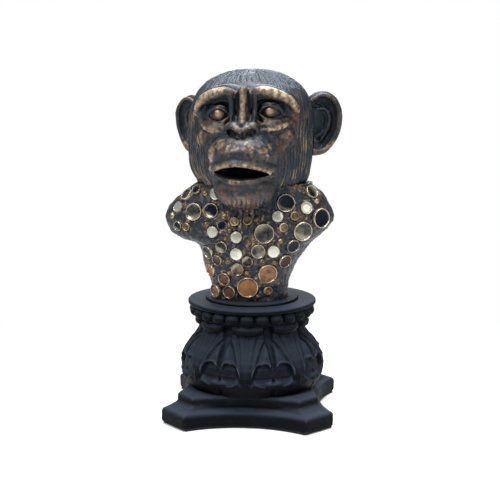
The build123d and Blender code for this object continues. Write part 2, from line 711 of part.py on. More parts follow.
def make_ear(skin, side):
    """A dished ear with a rolled rim, an inner fold and a lobe, swept back and trimmed to the head."""
    shell = ellipsoid(EAR_WIDTH, EAR_THICKNESS, EAR_HEIGHT)
    dish = ellipsoid(EAR_WIDTH - 2 * EAR_RIM, EAR_THICKNESS, EAR_HEIGHT - 2 * EAR_RIM)
    shell = shell - Pos(0, -EAR_DISH, 0) * dish
    fold_path = ThreePointArc(
        (-EAR_WIDTH / 4, 0, EAR_HEIGHT / 4), (EAR_WIDTH / 6, 0, 0), (-EAR_WIDTH / 4, 0, -EAR_HEIGHT / 4)
    )
    fold = rod(fold_path, EAR_FOLD_THICKNESS)
    lobe = Pos(-EAR_WIDTH / 8, 0, LOBE_DIAMETER / 2 - EAR_HEIGHT / 2) * ellipsoid(
        LOBE_DIAMETER, EAR_THICKNESS / 2, LOBE_DIAMETER
    )
    ear = Rot(0, EAR_LEAN, 0) * (shell + fold) + lobe
    sweep_back = Rot(0, 0, LEFT_EAR_SWEEP if side > 0 else RIGHT_EAR_SWEEP)
    root = Pos(EAR_SPAN / 2 - EAR_WIDTH, EAR_SETBACK, EAR_CENTRE_HEIGHT)
    ear = root * sweep_back * Pos(EAR_WIDTH / 2, 0, 0) * ear
    if side < 0:
        ear = mirror(ear, Plane.YZ)
    return ear - skin


# Discs on the chest


def torso_point(height, turn):
    """The place on the torso's skin at a height, turned from the front towards the viewer's right."""
    sizes = torso_sizes_at(max(0, min(1, height / TORSO_HEIGHT)))
    x, y = section_point(turn, *sizes, TORSO_SQUARENESS)
    return Vector(x, y, TORSO_Z + height)


def disc_plane(diameter, column, row):
    """The plane touching the torso where the front view shows that pixel, clear of its two ends."""
    across = (column - VIEW_AXIS_COLUMN) / VIEW_HALF_SPAN * TORSO_WIDTH / 2
    margin = diameter / 2 + DISC_GAP
    turn = 0
    for _ in range(3):
        rise = VIEW_FOOT_ROW - row + VIEW_FRONT_DROP * cos(turn)
        height = TORSO_HEIGHT * rise / (VIEW_FOOT_ROW - VIEW_TOP_ROW)
        height = max(margin, min(TORSO_HEIGHT - margin, height))
        to_left, to_right, front, back = torso_sizes_at(height / TORSO_HEIGHT)
        share = max(-EDGE_SHARE, min(EDGE_SHARE, across / (to_right if across > 0 else to_left)))
        turn = asin(abs(share) ** (TORSO_SQUARENESS / 2)) * (1 if share > 0 else -1)
    along = torso_point(height, turn + NORMAL_TURN) - torso_point(height, turn - NORMAL_TURN)
    up = torso_point(height + margin, turn) - torso_point(height - margin, turn)
    return Plane(origin=torso_point(height, turn), z_dir=along.cross(up))


def room_between(plane, other):
    """The distance between two discs' centres, where they come closest."""
    depths = (-DISC_BED, DISC_HEIGHT)
    return min((plane.origin + plane.z_dir * d - other.origin - other.z_dir * d).length for d in depths)


def disc_layout():
    """Every disc's node, form, plane and diameter, shrunk where neighbours would touch."""
    placed = []
    for node, (form, diameter, pixels) in DISC_GROUPS.items():
        for column, row in pixels:
            placed.append((node, form, disc_plane(diameter, column, row), diameter))
    fitted = []
    for node, form, plane, diameter in placed:
        fits = [1]
        for _, _, other, other_diameter in placed:
            if other is not plane:
                fits.append(2 * (room_between(plane, other) - DISC_GAP) / (diameter + other_diameter))
        fitted.append((node, form, plane, diameter * min(fits)))
    return fitted


def mirror_disc(diameter):
    return Pos(0, 0, -DISC_BED) * extrude(Circle(diameter / 2), DISC_BED + DISC_HEIGHT)


def cup_disc(diameter):
    recess = Pos(0, 0, DISC_HEIGHT - RIM_HEIGHT) * extrude(Circle(diameter / 2 - RIM_WIDTH), RIM_HEIGHT)
    return mirror_disc(diameter) - recess


def washer_disc(diameter):
    recess = Pos(0, 0, DISC_HEIGHT - RIM_HEIGHT) * extrude(
        Circle(WASHER_HOLE_SHARE * diameter / 2), RIM_HEIGHT
    )
    return mirror_disc(diameter) - recess


def stud_disc(diameter):
    """A round-headed stud on a plain shank."""
    shank = Pos(0, 0, -DISC_BED) * extrude(Circle(diameter / 2), DISC_BED)
    dome = Sphere(diameter / 2) - Pos(0, 0, -diameter / 2) * Box(diameter, diameter, diameter)
    return shank + dome


DISC_GROUPS = {
    "wide_cups": (cup_disc, WIDE_CUP, WIDE_CUP_PIXELS),
    "large_cups": (cup_disc, LARGE_CUP, LARGE_CUP_PIXELS),
    "medium_cups": (cup_disc, MEDIUM_CUP, MEDIUM_CUP_PIXELS),
    "small_cups": (cup_disc, SMALL_CUP, SMALL_CUP_PIXELS),
    "mirror_discs": (mirror_disc, MIRROR, MIRROR_PIXELS),
    "washers": (washer_disc, WASHER, WASHER_PIXELS),
    "studs": (stud_disc, STUD, STUD_PIXELS),
}


def make_discs(discs, wanted):
    """One group of like discs, each on its own seat."""
    solids = []
    for node, form, plane, diameter in discs:
        if node == wanted:
            solids.append((plane * form(diameter)).solid())
    return Compound(children=solids)


def main():
    os.makedirs("parts", exist_ok=True)
    torso_skin = make_torso_skin()
    head_skin = make_head_skin()
    ear_root_skin = make_head_skin(GLUE_GAP)
    discs = disc_layout()
    place = head_place()
    parts = {
        "foot_felt": make_felt(),
        "plinth": make_plinth(),
        "leaf_drum": make_drum(),
        "bead_course": make_beads(),
        "cap": make_cap(),
        "torso": make_torso(torso_skin, discs),
        "head": place * make_head(head_skin),
        "left_eye": place * make_eye(head_skin, 1),
        "right_eye": place * make_eye(head_skin, -1),
        "left_ear": place * make_ear(ear_root_skin, 1),
        "right_ear": place * make_ear(ear_root_skin, -1),
    }
    for node in DISC_GROUPS:
        parts[node] = make_discs(discs, node)
    for node, shape in parts.items():
        export_step(shape, f"parts/{node}.step")


main()
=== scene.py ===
from math import cos, pi, radians, sin

import bmesh
import bpy
import numpy as np
from mathutils import Matrix, Vector, noise


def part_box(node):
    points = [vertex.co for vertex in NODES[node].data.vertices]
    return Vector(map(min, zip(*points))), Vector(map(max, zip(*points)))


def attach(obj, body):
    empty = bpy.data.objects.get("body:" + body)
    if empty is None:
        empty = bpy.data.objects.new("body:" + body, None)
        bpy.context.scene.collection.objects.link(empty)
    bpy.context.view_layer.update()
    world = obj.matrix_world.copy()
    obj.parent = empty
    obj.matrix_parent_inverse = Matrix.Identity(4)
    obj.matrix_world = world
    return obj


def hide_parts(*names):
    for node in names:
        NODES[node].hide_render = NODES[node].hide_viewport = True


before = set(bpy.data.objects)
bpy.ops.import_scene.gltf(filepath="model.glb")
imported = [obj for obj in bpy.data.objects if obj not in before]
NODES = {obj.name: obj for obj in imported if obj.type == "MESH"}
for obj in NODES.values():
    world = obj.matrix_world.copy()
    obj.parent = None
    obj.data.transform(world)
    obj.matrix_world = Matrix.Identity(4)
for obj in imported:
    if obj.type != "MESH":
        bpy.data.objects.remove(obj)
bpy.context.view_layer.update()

# Sizes are in millimetres. Those that Blender takes as they are, on the stage too, are in metres.
MM = 0.001

# The head is shaped in its own frame, from its seat on the torso, with the face towards -Y
HEAD_TURN = radians(-4)
HEAD_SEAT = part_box("torso")[1].z
HEAD_FRAME = Matrix.Translation((0, 0, HEAD_SEAT)) @ Matrix.Rotation(HEAD_TURN, 4, "Z")

# The animal's right eye, and what lies round it, hangs lower than the left
RIGHT_EYE_DROP = 2.5
EYE_LEVEL = 60
EYE_DROP_REACH = 16

# Each skin's voxel size and rounds of smoothing
HEAD_SKIN = (0.89, 5)
EAR_SKIN = (0.6, 6)
TORSO_SKIN = (0.8, 4)
PLINTH_SKIN = (1.0, 5)
SMOOTH_FACTOR = 0.5

BLOB_SEGMENTS = 32
BLOB_RINGS = 20
ROLL_ROUNDNESS = 5
MERGE_DISTANCE = 1e-6


# Modelling tools


def deselect():
    """Leaves nothing selected."""
    bpy.ops.object.select_all(action="DESELECT")


def activate(obj):
    """Selects one object alone and makes it active."""
    deselect()
    obj.select_set(True)
    bpy.context.view_layer.objects.active = obj


def apply_modifier(obj, kind, **settings):
    """Adds a modifier, sets it and applies it, as by hand."""
    activate(obj)
    modifier = obj.modifiers.new(kind.lower(), kind)
    for name, value in settings.items():
        setattr(modifier, name, value)
    bpy.ops.object.modifier_apply(modifier=modifier.name)


def node_copy(node, name):
    """A merged copy of a node's mesh, free to be carved."""
    obj = bpy.data.objects.new(name, NODES[node].data.copy())
    obj.data.materials.clear()
    bpy.context.scene.collection.objects.link(obj)
    activate(obj)
    bpy.ops.object.mode_set(mode="EDIT")
    bpy.ops.mesh.select_all(action="SELECT")
    bpy.ops.mesh.remove_doubles(threshold=MERGE_DISTANCE)
    bpy.ops.object.mode_set(mode="OBJECT")
    return obj


def blob(centre, size):
    """A ball stretched to a size, as clay laid on."""
    deselect()
    bpy.ops.mesh.primitive_uv_sphere_add(segments=BLOB_SEGMENTS, ring_count=BLOB_RINGS, radius=0.5 * MM)
    ball = bpy.context.object
    ball.scale = size
    ball.location = Vector(centre) * MM
    bpy.ops.object.transform_apply(location=True, rotation=True, scale=True)
    return ball


def roll(points, radii):
    """A rolled strip of clay along points, thick as the radii say."""
    deselect()
    curve = bpy.data.curves.new("roll", "CURVE")
    curve.dimensions = "3D"
    curve.bevel_depth = MM
    curve.bevel_resolution = ROLL_ROUNDNESS
    curve.use_fill_caps = True
    spline = curve.splines.new("NURBS")
    spline.points.add(len(points) - 1)
    for spot, point, radius in zip(spline.points, points, radii):
        spot.co = (*(Vector(point) * MM), 1)
        spot.radius = radius
    spline.order_u = 3
    spline.use_endpoint_u = True
    strip = bpy.data.objects.new("roll", curve)
    bpy.context.scene.collection.objects.link(strip)
    activate(strip)
    bpy.ops.object.convert(target="MESH")
    return bpy.context.object


def sided(line):
    """A line on the animal's left and the same line on its right, a little lower round the eye."""
    other = []
    for x, y, z in line:
        drop = RIGHT_EYE_DROP * float(np.exp(-(((z - EYE_LEVEL) / EYE_DROP_REACH) ** 2)))
        other.append((-x, y, z - drop))
    return [line, other]


def paired_roll(line, radii):
    """The same roll of clay on the two sides of the face."""
    return [roll(side, radii) for side in sided(line)]


def drop_crumbs(body):
    """Keeps a skin's largest shell and removes the crumbs left inside it."""
    activate(body)
    bpy.ops.object.mode_set(mode="EDIT")
    bpy.ops.mesh.select_all(action="SELECT")
    bpy.ops.mesh.separate(type="LOOSE")
    bpy.ops.object.mode_set(mode="OBJECT")
    shells = sorted(bpy.context.selected_objects, key=lambda shell: len(shell.data.vertices))
    for crumb in shells[:-1]:
        bpy.data.objects.remove(crumb)
    return shells[-1]


def fuse(name, lumps, skin):
    """Presses lumps into one skin, then smooths the joins."""
    voxel, smooth_rounds = skin
    deselect()
    for lump in lumps:
        lump.select_set(True)
    body = lumps[0]
    bpy.context.view_layer.objects.active = body
    if len(lumps) > 1:
        bpy.ops.object.join()
    apply_modifier(body, "REMESH", mode="VOXEL", voxel_size=voxel * MM)
    body = drop_crumbs(body)
    apply_modifier(body, "SMOOTH", factor=SMOOTH_FACTOR, iterations=smooth_rounds)
    body.name = name
    body.data.name = name
    return body


class Clay:
    """A skin's points held as arrays in millimetres, so that strokes can push them along their normals."""

    def __init__(self, obj):
        self.obj = obj
        mesh = obj.data
        self.count = len(mesh.vertices)
        points = np.empty(self.count * 3, np.float32)
        mesh.vertices.foreach_get("co", points)
        self.points = points.reshape(-1, 3).astype(float) / MM
        ends = np.empty(len(mesh.edges) * 2, np.int32)
        mesh.edges.foreach_get("vertices", ends)
        self.ends = ends.reshape(-1, 2)
        self.valence = np.maximum(np.bincount(self.ends.ravel(), minlength=self.count), 1)
        self.read_normals()

    def read_normals(self):
        """Takes the normals from the mesh as it now is."""
        normals = np.empty(self.count * 3, np.float32)
        self.obj.data.vertex_normals.foreach_get("vector", normals)
        self.normals = normals.reshape(-1, 3).astype(float)

    def push(self, amount):
        """Moves every point along its normal."""
        self.points += self.normals * np.asarray(amount)[:, None]

    def write(self):
        """Puts the points back into the mesh."""
        self.obj.data.vertices.foreach_set("co", (self.points * MM).astype(np.float32).ravel())
        self.obj.data.update()
        self.read_normals()

    def averaged(self, values, rounds):
        """Values evened out over neighbouring points."""
        values = np.array(values, float)
        a, b = self.ends[:, 0], self.ends[:, 1]
        for _ in range(rounds):
            total = np.bincount(a, values[b], self.count) + np.bincount(b, values[a], self.count)
            values = 0.5 * values + 0.5 * total / self.valence
        return values

    def ridges(self, rounds):
        """How far each point stands out of its surroundings, which widen with the rounds."""
        even = np.stack([self.averaged(self.points[:, k], rounds) for k in range(3)], axis=1)
        return ((self.points - even) * self.normals).sum(axis=1)

    def distance(self, line):
        """How far each point is from a line through the given places."""
        best = np.full(self.count, np.inf)
        line = np.array(line, float)
        for start, end in zip(line[:-1], line[1:]):
            along = end - start
            share = ((self.points - start) @ along / (along @ along)).clip(0, 1)
            away = np.linalg.norm(self.points - start - share[:, None] * along, axis=1)
            best = np.minimum(best, away)
        return best

    def near(self, line, reach):
        """One on the line, falling away over the reach."""
        return hump(self.distance(line), 0, reach)

    def near_any(self, lines, reach):
        """One on any of the lines, falling away over the reach."""
        return np.maximum.reduce([self.near(line, reach) for line in lines])

    def grain(self, size, shift=0.0):
        """Soft noise of a grain size, from minus one to one."""
        offset = Vector((shift, 1.7 * shift, -0.6 * shift))
        return np.array([noise.noise(Vector(p) / size + offset) for p in self.points])

    def mixed_grain(self, layers):
        """Grains added up, each given by its weight, size and shift."""
        return sum(weight * self.grain(size, shift) for weight, size, shift in layers)

    def keep(self, name, values):
        """Stores values from nought to one on the points for the finish to read."""
        layer = self.obj.data.attributes.new(name, "FLOAT", "POINT")
        layer.data.foreach_set("value", np.asarray(values, np.float32).clip(0, 1))


def step(low, high, value):
    """A smooth rise from nought at low to one at high."""
    share = ((np.asarray(value) - low) / (high - low)).clip(0, 1)
    return share * share * (3 - 2 * share)


def hump(value, middle, reach):
    """One at the middle, falling away over the reach."""
    return np.exp(-(((value - middle) / reach) ** 2))


def furrow(turn, count):
    """Lines set round, so many to half a turn: one on each line, falling to nought between."""
    return 1 - np.abs(np.sin(count * turn))


# The head

# Lumps of clay: centre and size
SKULL_CORE = ((0, 4, 46), (72, 62, 72))
NECK_CORE = ((0, 0, 8), (44, 44, 44))
MUZZLE = ((0, -43, 27.5), (61, 51.5, 37))
CHIN = ((0, -42, -1), (52, 48, 37))
NOSE_TIP = ((0, -55.5, 42.5), (8, 9, 8))
CHEEK = [(29, -31.2, 39)]
CHEEK_SIZE = (25, 24, 23)

# Rolls of clay and lines along the face, with the rolls' radii. A paired one is given on the animal's left.
BROW = [
    (5.5, -47, 76.5), (13, -49.5, 79), (21, -48.5, 78),
    (32, -44, 74.5), (40, -37, 68.5), (42.5, -30, 61.5),
]
BROW_RADII = [2.8, 4.0, 4.5, 4.3, 3.6, 2.6]
BROW_TOP = [
    (6, -48.5, 79), (13, -51, 81.5), (21, -50.5, 80.5),
    (32, -46.5, 76.5), (41, -39, 70), (44, -32, 63),
]
INNER_BROW = [(9.6, -48, 77), (10.2, -46.5, 69), (9.4, -47.5, 61), (9, -50.5, 55)]
INNER_BROW_RADII = [2.8, 2.4, 2.2, 1.8]
BRIDGE = [(0, -44.4, 81.3), (0, -47.5, 73.5), (0, -49.5, 63), (0, -53, 56), (0, -57, 50.5)]
BRIDGE_RADII = [3.4, 3.2, 2.5, 3.0, 3.4]
NOSE = [
    (-14, -49, 46.5), (-9.5, -54.5, 50.5), (-4, -58, 48.2), (0, -60, 45.4),
    (4, -58, 48.2), (9.5, -54.5, 50.5), (14, -49, 46.5),
]
NOSE_RADII = [2.4, 2.9, 3.1, 3.4, 3.1, 2.9, 2.4]
NOSTRIL = [(2.2, -61, 43.4), (6.5, -59, 45.8), (12.5, -53.5, 48.4)]
NOSTRIL_REACH = 1.8
NOSTRIL_DEPTH = 5.0
BAG = [(16.5, -45, 53), (22.5, -45.6, 49.8), (30, -42.2, 49.8), (38, -34, 54)]
BAG_RADII = [1.6, 4.3, 4.3, 1.6]
BAG_TOP = [(16, -43.5, 54.6), (22.5, -44.6, 52.8), (30, -41.2, 52.8), (37, -34.5, 55.6)]
BAG_TOP_RADII = [1.4, 3.4, 3.4, 1.4]
BAG_CREASE = [
    (16.5, -47.5, 50), (20, -48.4, 46.6), (25, -48.4, 44.6),
    (31, -45, 45), (36, -39.5, 47.6), (38.5, -36, 51),
]
BAG_SWELL = [(18, -49, 50.5), (23.5, -50, 48.4), (30, -46.8, 48.4), (36, -40, 51)]
UPPER_LID = [(12, -41.5, 60.5), (16, -44, 65.5), (22, -44.5, 67.2), (28, -41, 64.5), (32.5, -36.5, 59.5)]
UPPER_LID_RADII = [0.8, 1.1, 1.2, 1.1, 0.8]
LOWER_LID = [(12, -41.5, 60.5), (17, -44, 56.4), (23, -43.6, 55), (28, -40.5, 56.6), (32.5, -36.5, 59.5)]
LOWER_LID_RADII = [0.8, 1.1, 1.2, 1.0, 0.8]
LID_EDGE = 1.3
# Painted shade in the eye sockets: its lines, how far it reaches, and the heights below which it fades out
SOCKET = [(14, -40, 64), (29, -36, 63)]
SOCKET_REACH = 8.2
SOCKET_FOOT = (55.5, 58.5)
UPPER_LIP = [
    (-24, -53.5, 14), (-17, -61.3, 17.4), (-8, -66.7, 19.8), (-2, -67.7, 19.6),
    (8, -66.7, 18.4), (17, -61.3, 16), (24, -53.5, 12.5),
]
UPPER_LIP_RADII = [1.9, 2.4, 2.8, 2.8, 2.8, 2.4, 1.9]
LOWER_LIP = [
    (-23.5, -54, 11.5), (-16, -61, 8.4), (-7, -65.5, 6.0), (0, -66, 5.6),
    (7, -65.5, 6.0), (16, -61, 8.0), (23.5, -54, 10.8),
]
LOWER_LIP_RADII = [1.8, 2.1, 2.4, 2.4, 2.4, 2.1, 1.8]
LIP_FOLD = [(-19, -61, -0.5), (0, -66, -2), (19, -61, -0.5)]
CHEEK_FOLD = [(14, -51, 49), (21, -49.5, 41), (28, -47, 31), (31, -45, 18), (29, -46, 6)]
CHEEK_BONE = [(36, -39, 44), (39, -34, 34)]
CHEEK_LINE = [(36, -38, 41), (40, -33, 33)]
FROWN = [(5.2, -51, 82), (5.6, -50, 75), (5.0, -50, 64), (6.4, -51, 57)]
UNDER_BROW = [(31, -38, 69.5), (21, -44, 72), (13, -46, 70)]
MUZZLE_TOP = [(-22, -57, 32), (-9, -65, 35), (9, -65, 35), (24, -56, 31)]
MUZZLE_TOP_REACH = 9
MOUTH_CORNER = [(-27, -52, 18), (-25, -55, 27)]
CHIN_FRONT = [(-15, -60, -8), (15, -60, -8)]

# Folds pressed into the face: the lines, how wide and how deep
FOLDS = [
    (sided(FROWN), 1.9, 3.6),
    (sided(CHEEK_FOLD), 2.4, 1.5),
    (sided(BAG_CREASE), 1.15, 2.8),
    (sided(UNDER_BROW), 1.9, 1.6),
    (sided(CHEEK_LINE), 1.4, 0.6),
    ([LIP_FOLD], 2.4, 1.3),
]

# Gold rubbed on the face: the lines, how wide and how strong
RUBBED = [
    (sided(INNER_BROW), 2.6, 0.22),
    (sided(BAG_SWELL), 3.4, 0.70),
    (sided(BAG_TOP), 5.0, 0.46),
    (sided(LOWER_LID), 1.2, 0.5),
    (sided(UPPER_LID), 1.0, 0.55),
    ([BRIDGE], 3.4, 0.85),
    ([NOSE], 3.4, 0.8),
    ([UPPER_LIP], 3.6, 0.75),
    ([LOWER_LIP[2:5]], 2.2, 0.85),
    (sided(CHEEK_BONE), 7, 0.5),
    ([MOUTH_CORNER], 6, 0.8),
    ([CHIN_FRONT], 10, 0.30),
]
BROW_RUB_REACH = 5.2
BROW_RUB = 0.86
BROW_FADE = (9, 20)
LEAST_RUB = 0.14

# Red-brown patches of the face: the line, how wide and how strong
RUSTY = [
    ([(44, -30, 62), (38, -38, 42), (34, -42, 30)], 8, 1.0),
    ([(-12, -60, -10), (12, -60, -10)], 11, 0.6),
]

# Half the bare face's width inside the hair, by height
FACE_EDGE = (
    [-18, -5, 8, 20, 30, 40, 50, 62, 72, 79, 84, 87],
    [23, 27, 30, 32, 34, 38.5, 42, 44.5, 42.5, 33, 20, 0],
)
FACE_EDGE_SOFTNESS = 1.8
FACE_EDGE_RAGGED = 1.6
FACE_BACK = -4

# The mouth's opening between the lips: its edges above and below the mouth line, by place across
MOUTH_LINE = 12.6
MOUTH_HALF_WIDTH = 22.5
MOUTH_BACK = -44
MOUTH_DEPTH = 13
MOUTH_EDGE = (-0.9, 1.3)
UPPER_EDGE = ([-22.5, -14, -4, 6, 15, 22.5], [0.2, 3.8, 5.4, 4.6, 2.2, -0.9])
LOWER_EDGE = ([-22.5, -13, 0, 12, 22.5], [-0.3, -3.4, -4.9, -4.0, -1.3])

# The hair: furrows in half a turn round the head, and how deep they go
CROWN_Y = 3
CROWN_WHORL = (4, 18)
STRANDS = 47
STRAND_DEPTH = 1.5
LOCKS = 19
LOCK_DEPTH = 1.0
HAIR_RISE = 0.6
BEARD_TOP = (-4, -12)
BEARD_BACK = (-20, -34)
BEARD_SHARE = 0.6

# Grains as weight, size and shift
HEAD_GRAIN = [(0.22, 5, 0.0), (0.14, 2.4, 2.0)]
HAIR_WANDER = [(0.045, 15, 0.0), (0.020, 6, 3.1)]
RUST_GRAIN = [(1.0, 3.0, 2.5), (0.6, 7, 1.5)]
MUZZLE_SPECKS = [(0.55, 10, 7.0), (0.6, 4, 1.0), (0.6, 1.9, 5.0)]
FACE_BRUSH = [(0.60, 3.6, 4.0), (0.50, 1.7, 9.0)]


def model_head():
    """The head: the casting's skull with brows, nose, bags, lips and chin pressed on and worked."""
    skull = node_copy("head", "head")
    skull.data.transform(HEAD_FRAME.inverted())
    lumps = [skull]
    lumps += [blob(centre, size) for centre, size in (SKULL_CORE, NECK_CORE, MUZZLE, CHIN)]
    lumps += [blob(place[0], CHEEK_SIZE) for place in sided(CHEEK)]
    lumps += paired_roll(BROW, BROW_RADII)
    lumps += paired_roll(INNER_BROW, INNER_BROW_RADII)
    lumps.append(roll(BRIDGE, BRIDGE_RADII))
    lumps.append(roll(NOSE, NOSE_RADII))
    lumps.append(blob(*NOSE_TIP))
    lumps += paired_roll(BAG, BAG_RADII)
    lumps += paired_roll(BAG_TOP, BAG_TOP_RADII)
    lumps += paired_roll(UPPER_LID, UPPER_LID_RADII)
    lumps += paired_roll(LOWER_LID, LOWER_LID_RADII)
    lumps.append(roll(UPPER_LIP, UPPER_LIP_RADII))
    lumps.append(roll(LOWER_LIP, LOWER_LIP_RADII))
    head = fuse("head_cast", lumps, HEAD_SKIN)
    carve_head(Clay(head))
    head.data.transform(HEAD_FRAME)
    return head


def carve_mouth(clay):
    """Hollows the mouth between the lips and says where it is."""
    x, y, z = clay.points.T
    above = np.interp(x, *UPPER_EDGE) + MOUTH_LINE - z
    below = z - MOUTH_LINE - np.interp(x, *LOWER_EDGE)
    inside = step(*MOUTH_EDGE, np.minimum(above, below)) * (np.abs(x) < MOUTH_HALF_WIDTH) * (y < MOUTH_BACK)
    clay.points[:, 1] += MOUTH_DEPTH * inside
    clay.write()
    return inside


def carve_nostrils(clay):
    """Presses the nostrils in and says where they are."""
    holes = clay.near_any(sided(NOSTRIL), NOSTRIL_REACH)
    clay.push(-NOSTRIL_DEPTH * holes)
    clay.write()
    return holes


def carve_folds(clay):
    """Presses the folds into the face."""
    folds = np.zeros(clay.count)
    for lines, reach, depth in FOLDS:
        for line in lines:
            folds += depth * clay.near(line, reach)
    clay.push(-folds)
    clay.write()


def comb_hair(clay):
    """Combs strands from the crown down the sides and back, and a beard; says where hair and bare face are."""
    x, y, z = clay.points.T
    past_edge = np.abs(x) - np.interp(z, *FACE_EDGE) + FACE_EDGE_RAGGED * clay.grain(7, 2.0)
    bare = step(FACE_EDGE_SOFTNESS, -FACE_EDGE_SOFTNESS, past_edge) * (y < FACE_BACK)
    turn = np.arctan2(x, CROWN_Y - y) + clay.mixed_grain(HAIR_WANDER)
    strands = furrow(turn, STRANDS)
    locks = 1 - np.abs(np.sin(LOCKS * turn + 1.1 * clay.grain(20, 5.0)))
    beard = step(*BEARD_TOP, z) * step(*BEARD_BACK, y)
    grown = (1 - bare) * step(*CROWN_WHORL, np.hypot(x, y - CROWN_Y))
    hair = np.maximum(grown, BEARD_SHARE * beard)
    clay.push(hair * (HAIR_RISE - STRAND_DEPTH * strands**1.5 - LOCK_DEPTH * locks**2))
    clay.write()
    return hair, bare


def carve_head(clay):
    """Works the head's skin, then marks where its finish is rubbed with gold, where a painted sheen lies on the
    hair, where it is rusty, and where painted shade darkens the mouth, nostrils, eye sockets and creases.
    """
    clay.push(clay.mixed_grain(HEAD_GRAIN))
    clay.write()
    mouth = carve_mouth(clay)
    nostrils = carve_nostrils(clay)
    carve_folds(clay)
    hair, bare = comb_hair(clay)
    _, y, z = clay.points.T
    ridges = clay.ridges(5)

    # Painted sheen: the hair's ridges drawn towards a pale slate, most on the crown where the light falls from
    # above
    lit_strands = hair * step(-0.1, 0.45, ridges)
    clay.keep("painted_sheen", lit_strands * (0.06 + 0.74 * step(62, 92, z)))

    rusty = sum(strength * clay.near(line, reach) for line, reach, strength in RUSTY)
    clay.keep("rust", rusty * step(-0.35, 0.4, clay.mixed_grain(RUST_GRAIN)))

    # Painted shade: the eye sockets, the mouth, the nostrils and the creases are darkened where shade falls
    socket = clay.near_any(sided(SOCKET), SOCKET_REACH) * step(*SOCKET_FOOT, z)
    lids = clay.near_any(sided(UPPER_LID) + sided(LOWER_LID), LID_EDGE)
    socket *= (0.6 + 0.4 * step(1.0, 0.0, clay.ridges(14))) * (1 - 0.8 * lids)
    dark = np.maximum.reduce([mouth, nostrils, socket])
    clay.keep("hollow", dark + 0.9 * step(-0.05, -0.7, clay.ridges(8)))

    cheek = step(86, 60, z) * step(20, -25, y)
    tips = hair * step(0.0, 0.40, ridges) * step(-0.5, 0.4, clay.grain(14, 3.0))
    rub = rub_on_face(clay, bare) + tips * (0.04 + 0.56 * cheek)
    clay.keep("rub", rub * (1 - dark))


def rub_on_face(clay, bare):
    """Where gold is rubbed on: brows, nose, bags, lips and patches of the cheeks and muzzle."""
    outward = step(*BROW_FADE, np.abs(clay.points[:, 0]))
    gold = BROW_RUB * (0.45 + 0.55 * outward) * clay.near_any(sided(BROW_TOP), BROW_RUB_REACH)
    for lines, reach, strength in RUBBED:
        gold = np.maximum(gold, strength * clay.near_any(lines, reach))
    specks = 0.46 + 0.62 * clay.mixed_grain(MUZZLE_SPECKS)
    gold = np.maximum(gold, specks * clay.near(MUZZLE_TOP, MUZZLE_TOP_REACH))
    raised = 0.25 + 0.75 * step(-0.4, 0.3, clay.ridges(10))
    brushed = 0.78 + clay.mixed_grain(FACE_BRUSH)
    return bare * np.maximum(gold, LEAST_RUB) * raised * brushed


# The ears

EAR_ROOT = Vector((37, 8, 51))
EAR_HALF_WIDTH = 20
EAR_RIM = [
    (-8, -7, 19), (0, -7, 26), (11, -6, 23), (18.5, -5, 10),
    (18, -4, -5), (11.5, -4, -18), (2, -5, -26), (-6, -7, -25),
]
EAR_RIM_RADII = [1.4, 1.6, 1.7, 1.6, 1.6, 1.9, 2.8, 3.0]
EAR_FOLD = [(-3, -2, 12), (5, -3, 14), (9.5, -2.5, 5), (7.5, -2, -6), (1, -2, -16)]
EAR_FOLD_RADII = [1.0, 1.6, 1.8, 1.6, 1.0]
EAR_LOBE_FROM = 5
EAR_TOP = (52, 76)
EAR_GRAIN = [(0.2, 5, 0.0), (0.12, 2.2, 2.0)]
EAR_BRUSH = [(0.5, 4, 4.0), (0.35, 1.8, 9.0)]

# Each ear's side, its sweep back in degrees, and how far its top droops
EARS = {"left_ear": (1, 10, 1.0), "right_ear": (-1, 32, 4.5)}


def ear_points(points, side, sweep):
    """Places given from the ear's middle, swept back and put on the head's side."""
    placing = Matrix.Translation(EAR_ROOT) @ Matrix.Rotation(radians(sweep), 4, "Z")
    placed = [placing @ (Vector(point) + Vector((EAR_HALF_WIDTH, 0, 0))) for point in points]
    return [(side * place.x, place.y, place.z) for place in placed]


def model_ear(node):
    """A dished ear with a rolled rim and an inner fold."""
    side, sweep, droop = EARS[node]
    ear = node_copy(node, node)
    ear.data.transform(HEAD_FRAME.inverted())
    rim = ear_points(EAR_RIM, side, sweep)
    fold = ear_points(EAR_FOLD, side, sweep)
    ear = fuse(node + "_cast", [ear, roll(rim, EAR_RIM_RADII), roll(fold, EAR_FOLD_RADII)], EAR_SKIN)
    clay = Clay(ear)
    clay.push(clay.mixed_grain(EAR_GRAIN))
    brushed = 0.55 + clay.mixed_grain(EAR_BRUSH)
    lobe = clay.near(rim[EAR_LOBE_FROM:], 5.0)
    worn = np.maximum.reduce([0.40 * clay.near(rim, 2.4), 0.85 * lobe, 0.25 * clay.near(fold, 1.6)])
    clay.points[:, 2] -= droop * step(*EAR_TOP, clay.points[:, 2])
    clay.write()
    raised = step(-0.3, 0.4, clay.ridges(10))
    clay.keep("rub", worn * brushed * raised + 0.04)
    # Painted shade in the ear's dish and folds
    clay.keep("hollow", 0.9 * step(0.1, -0.9, clay.ridges(14)))
    ear.data.transform(HEAD_FRAME)
    return ear


# The torso

TORSO_FOOT_RING = 0.1178
# The foot is drawn down in steps: the height reached, and how far the ring draws in across and in depth
TORSO_FOOT_STEPS = [(0.1140, 0.985, 0.905), (0.1035, 0.985, 0.985)]
TORSO_CORE_RADIUS = 0.0215
TORSO_CORE_SEGMENTS = 48
TORSO_CORE_GAP = 0.002
TORSO_FRONT = (10, -12)
TORSO_ROUGH = [(0.7, 4.5, 0.0), (0.5, 2.2, 2.0)]
TORSO_STREAKS = [(0.5, 3.5, 4.0), (0.4, 1.6, 9.0)]
TORSO_WANDER = [(0.05, 16, 8.0), (0.02, 6, 3.0)]
TORSO_STRANDS = 34
TORSO_LOCKS = 13
TORSO_STRAND_DEPTH = 0.9
TORSO_STRAND_FOOT = (104, 110)

# The lock of hair under the chin: its middle, half width, foot, depth and furrows across
THROAT_MIDDLE = -2
THROAT_HALF_WIDTH = 13
THROAT_FOOT = (158, 172)
THROAT_DEPTH = 1.6
THROAT_FURROWS = 0.62


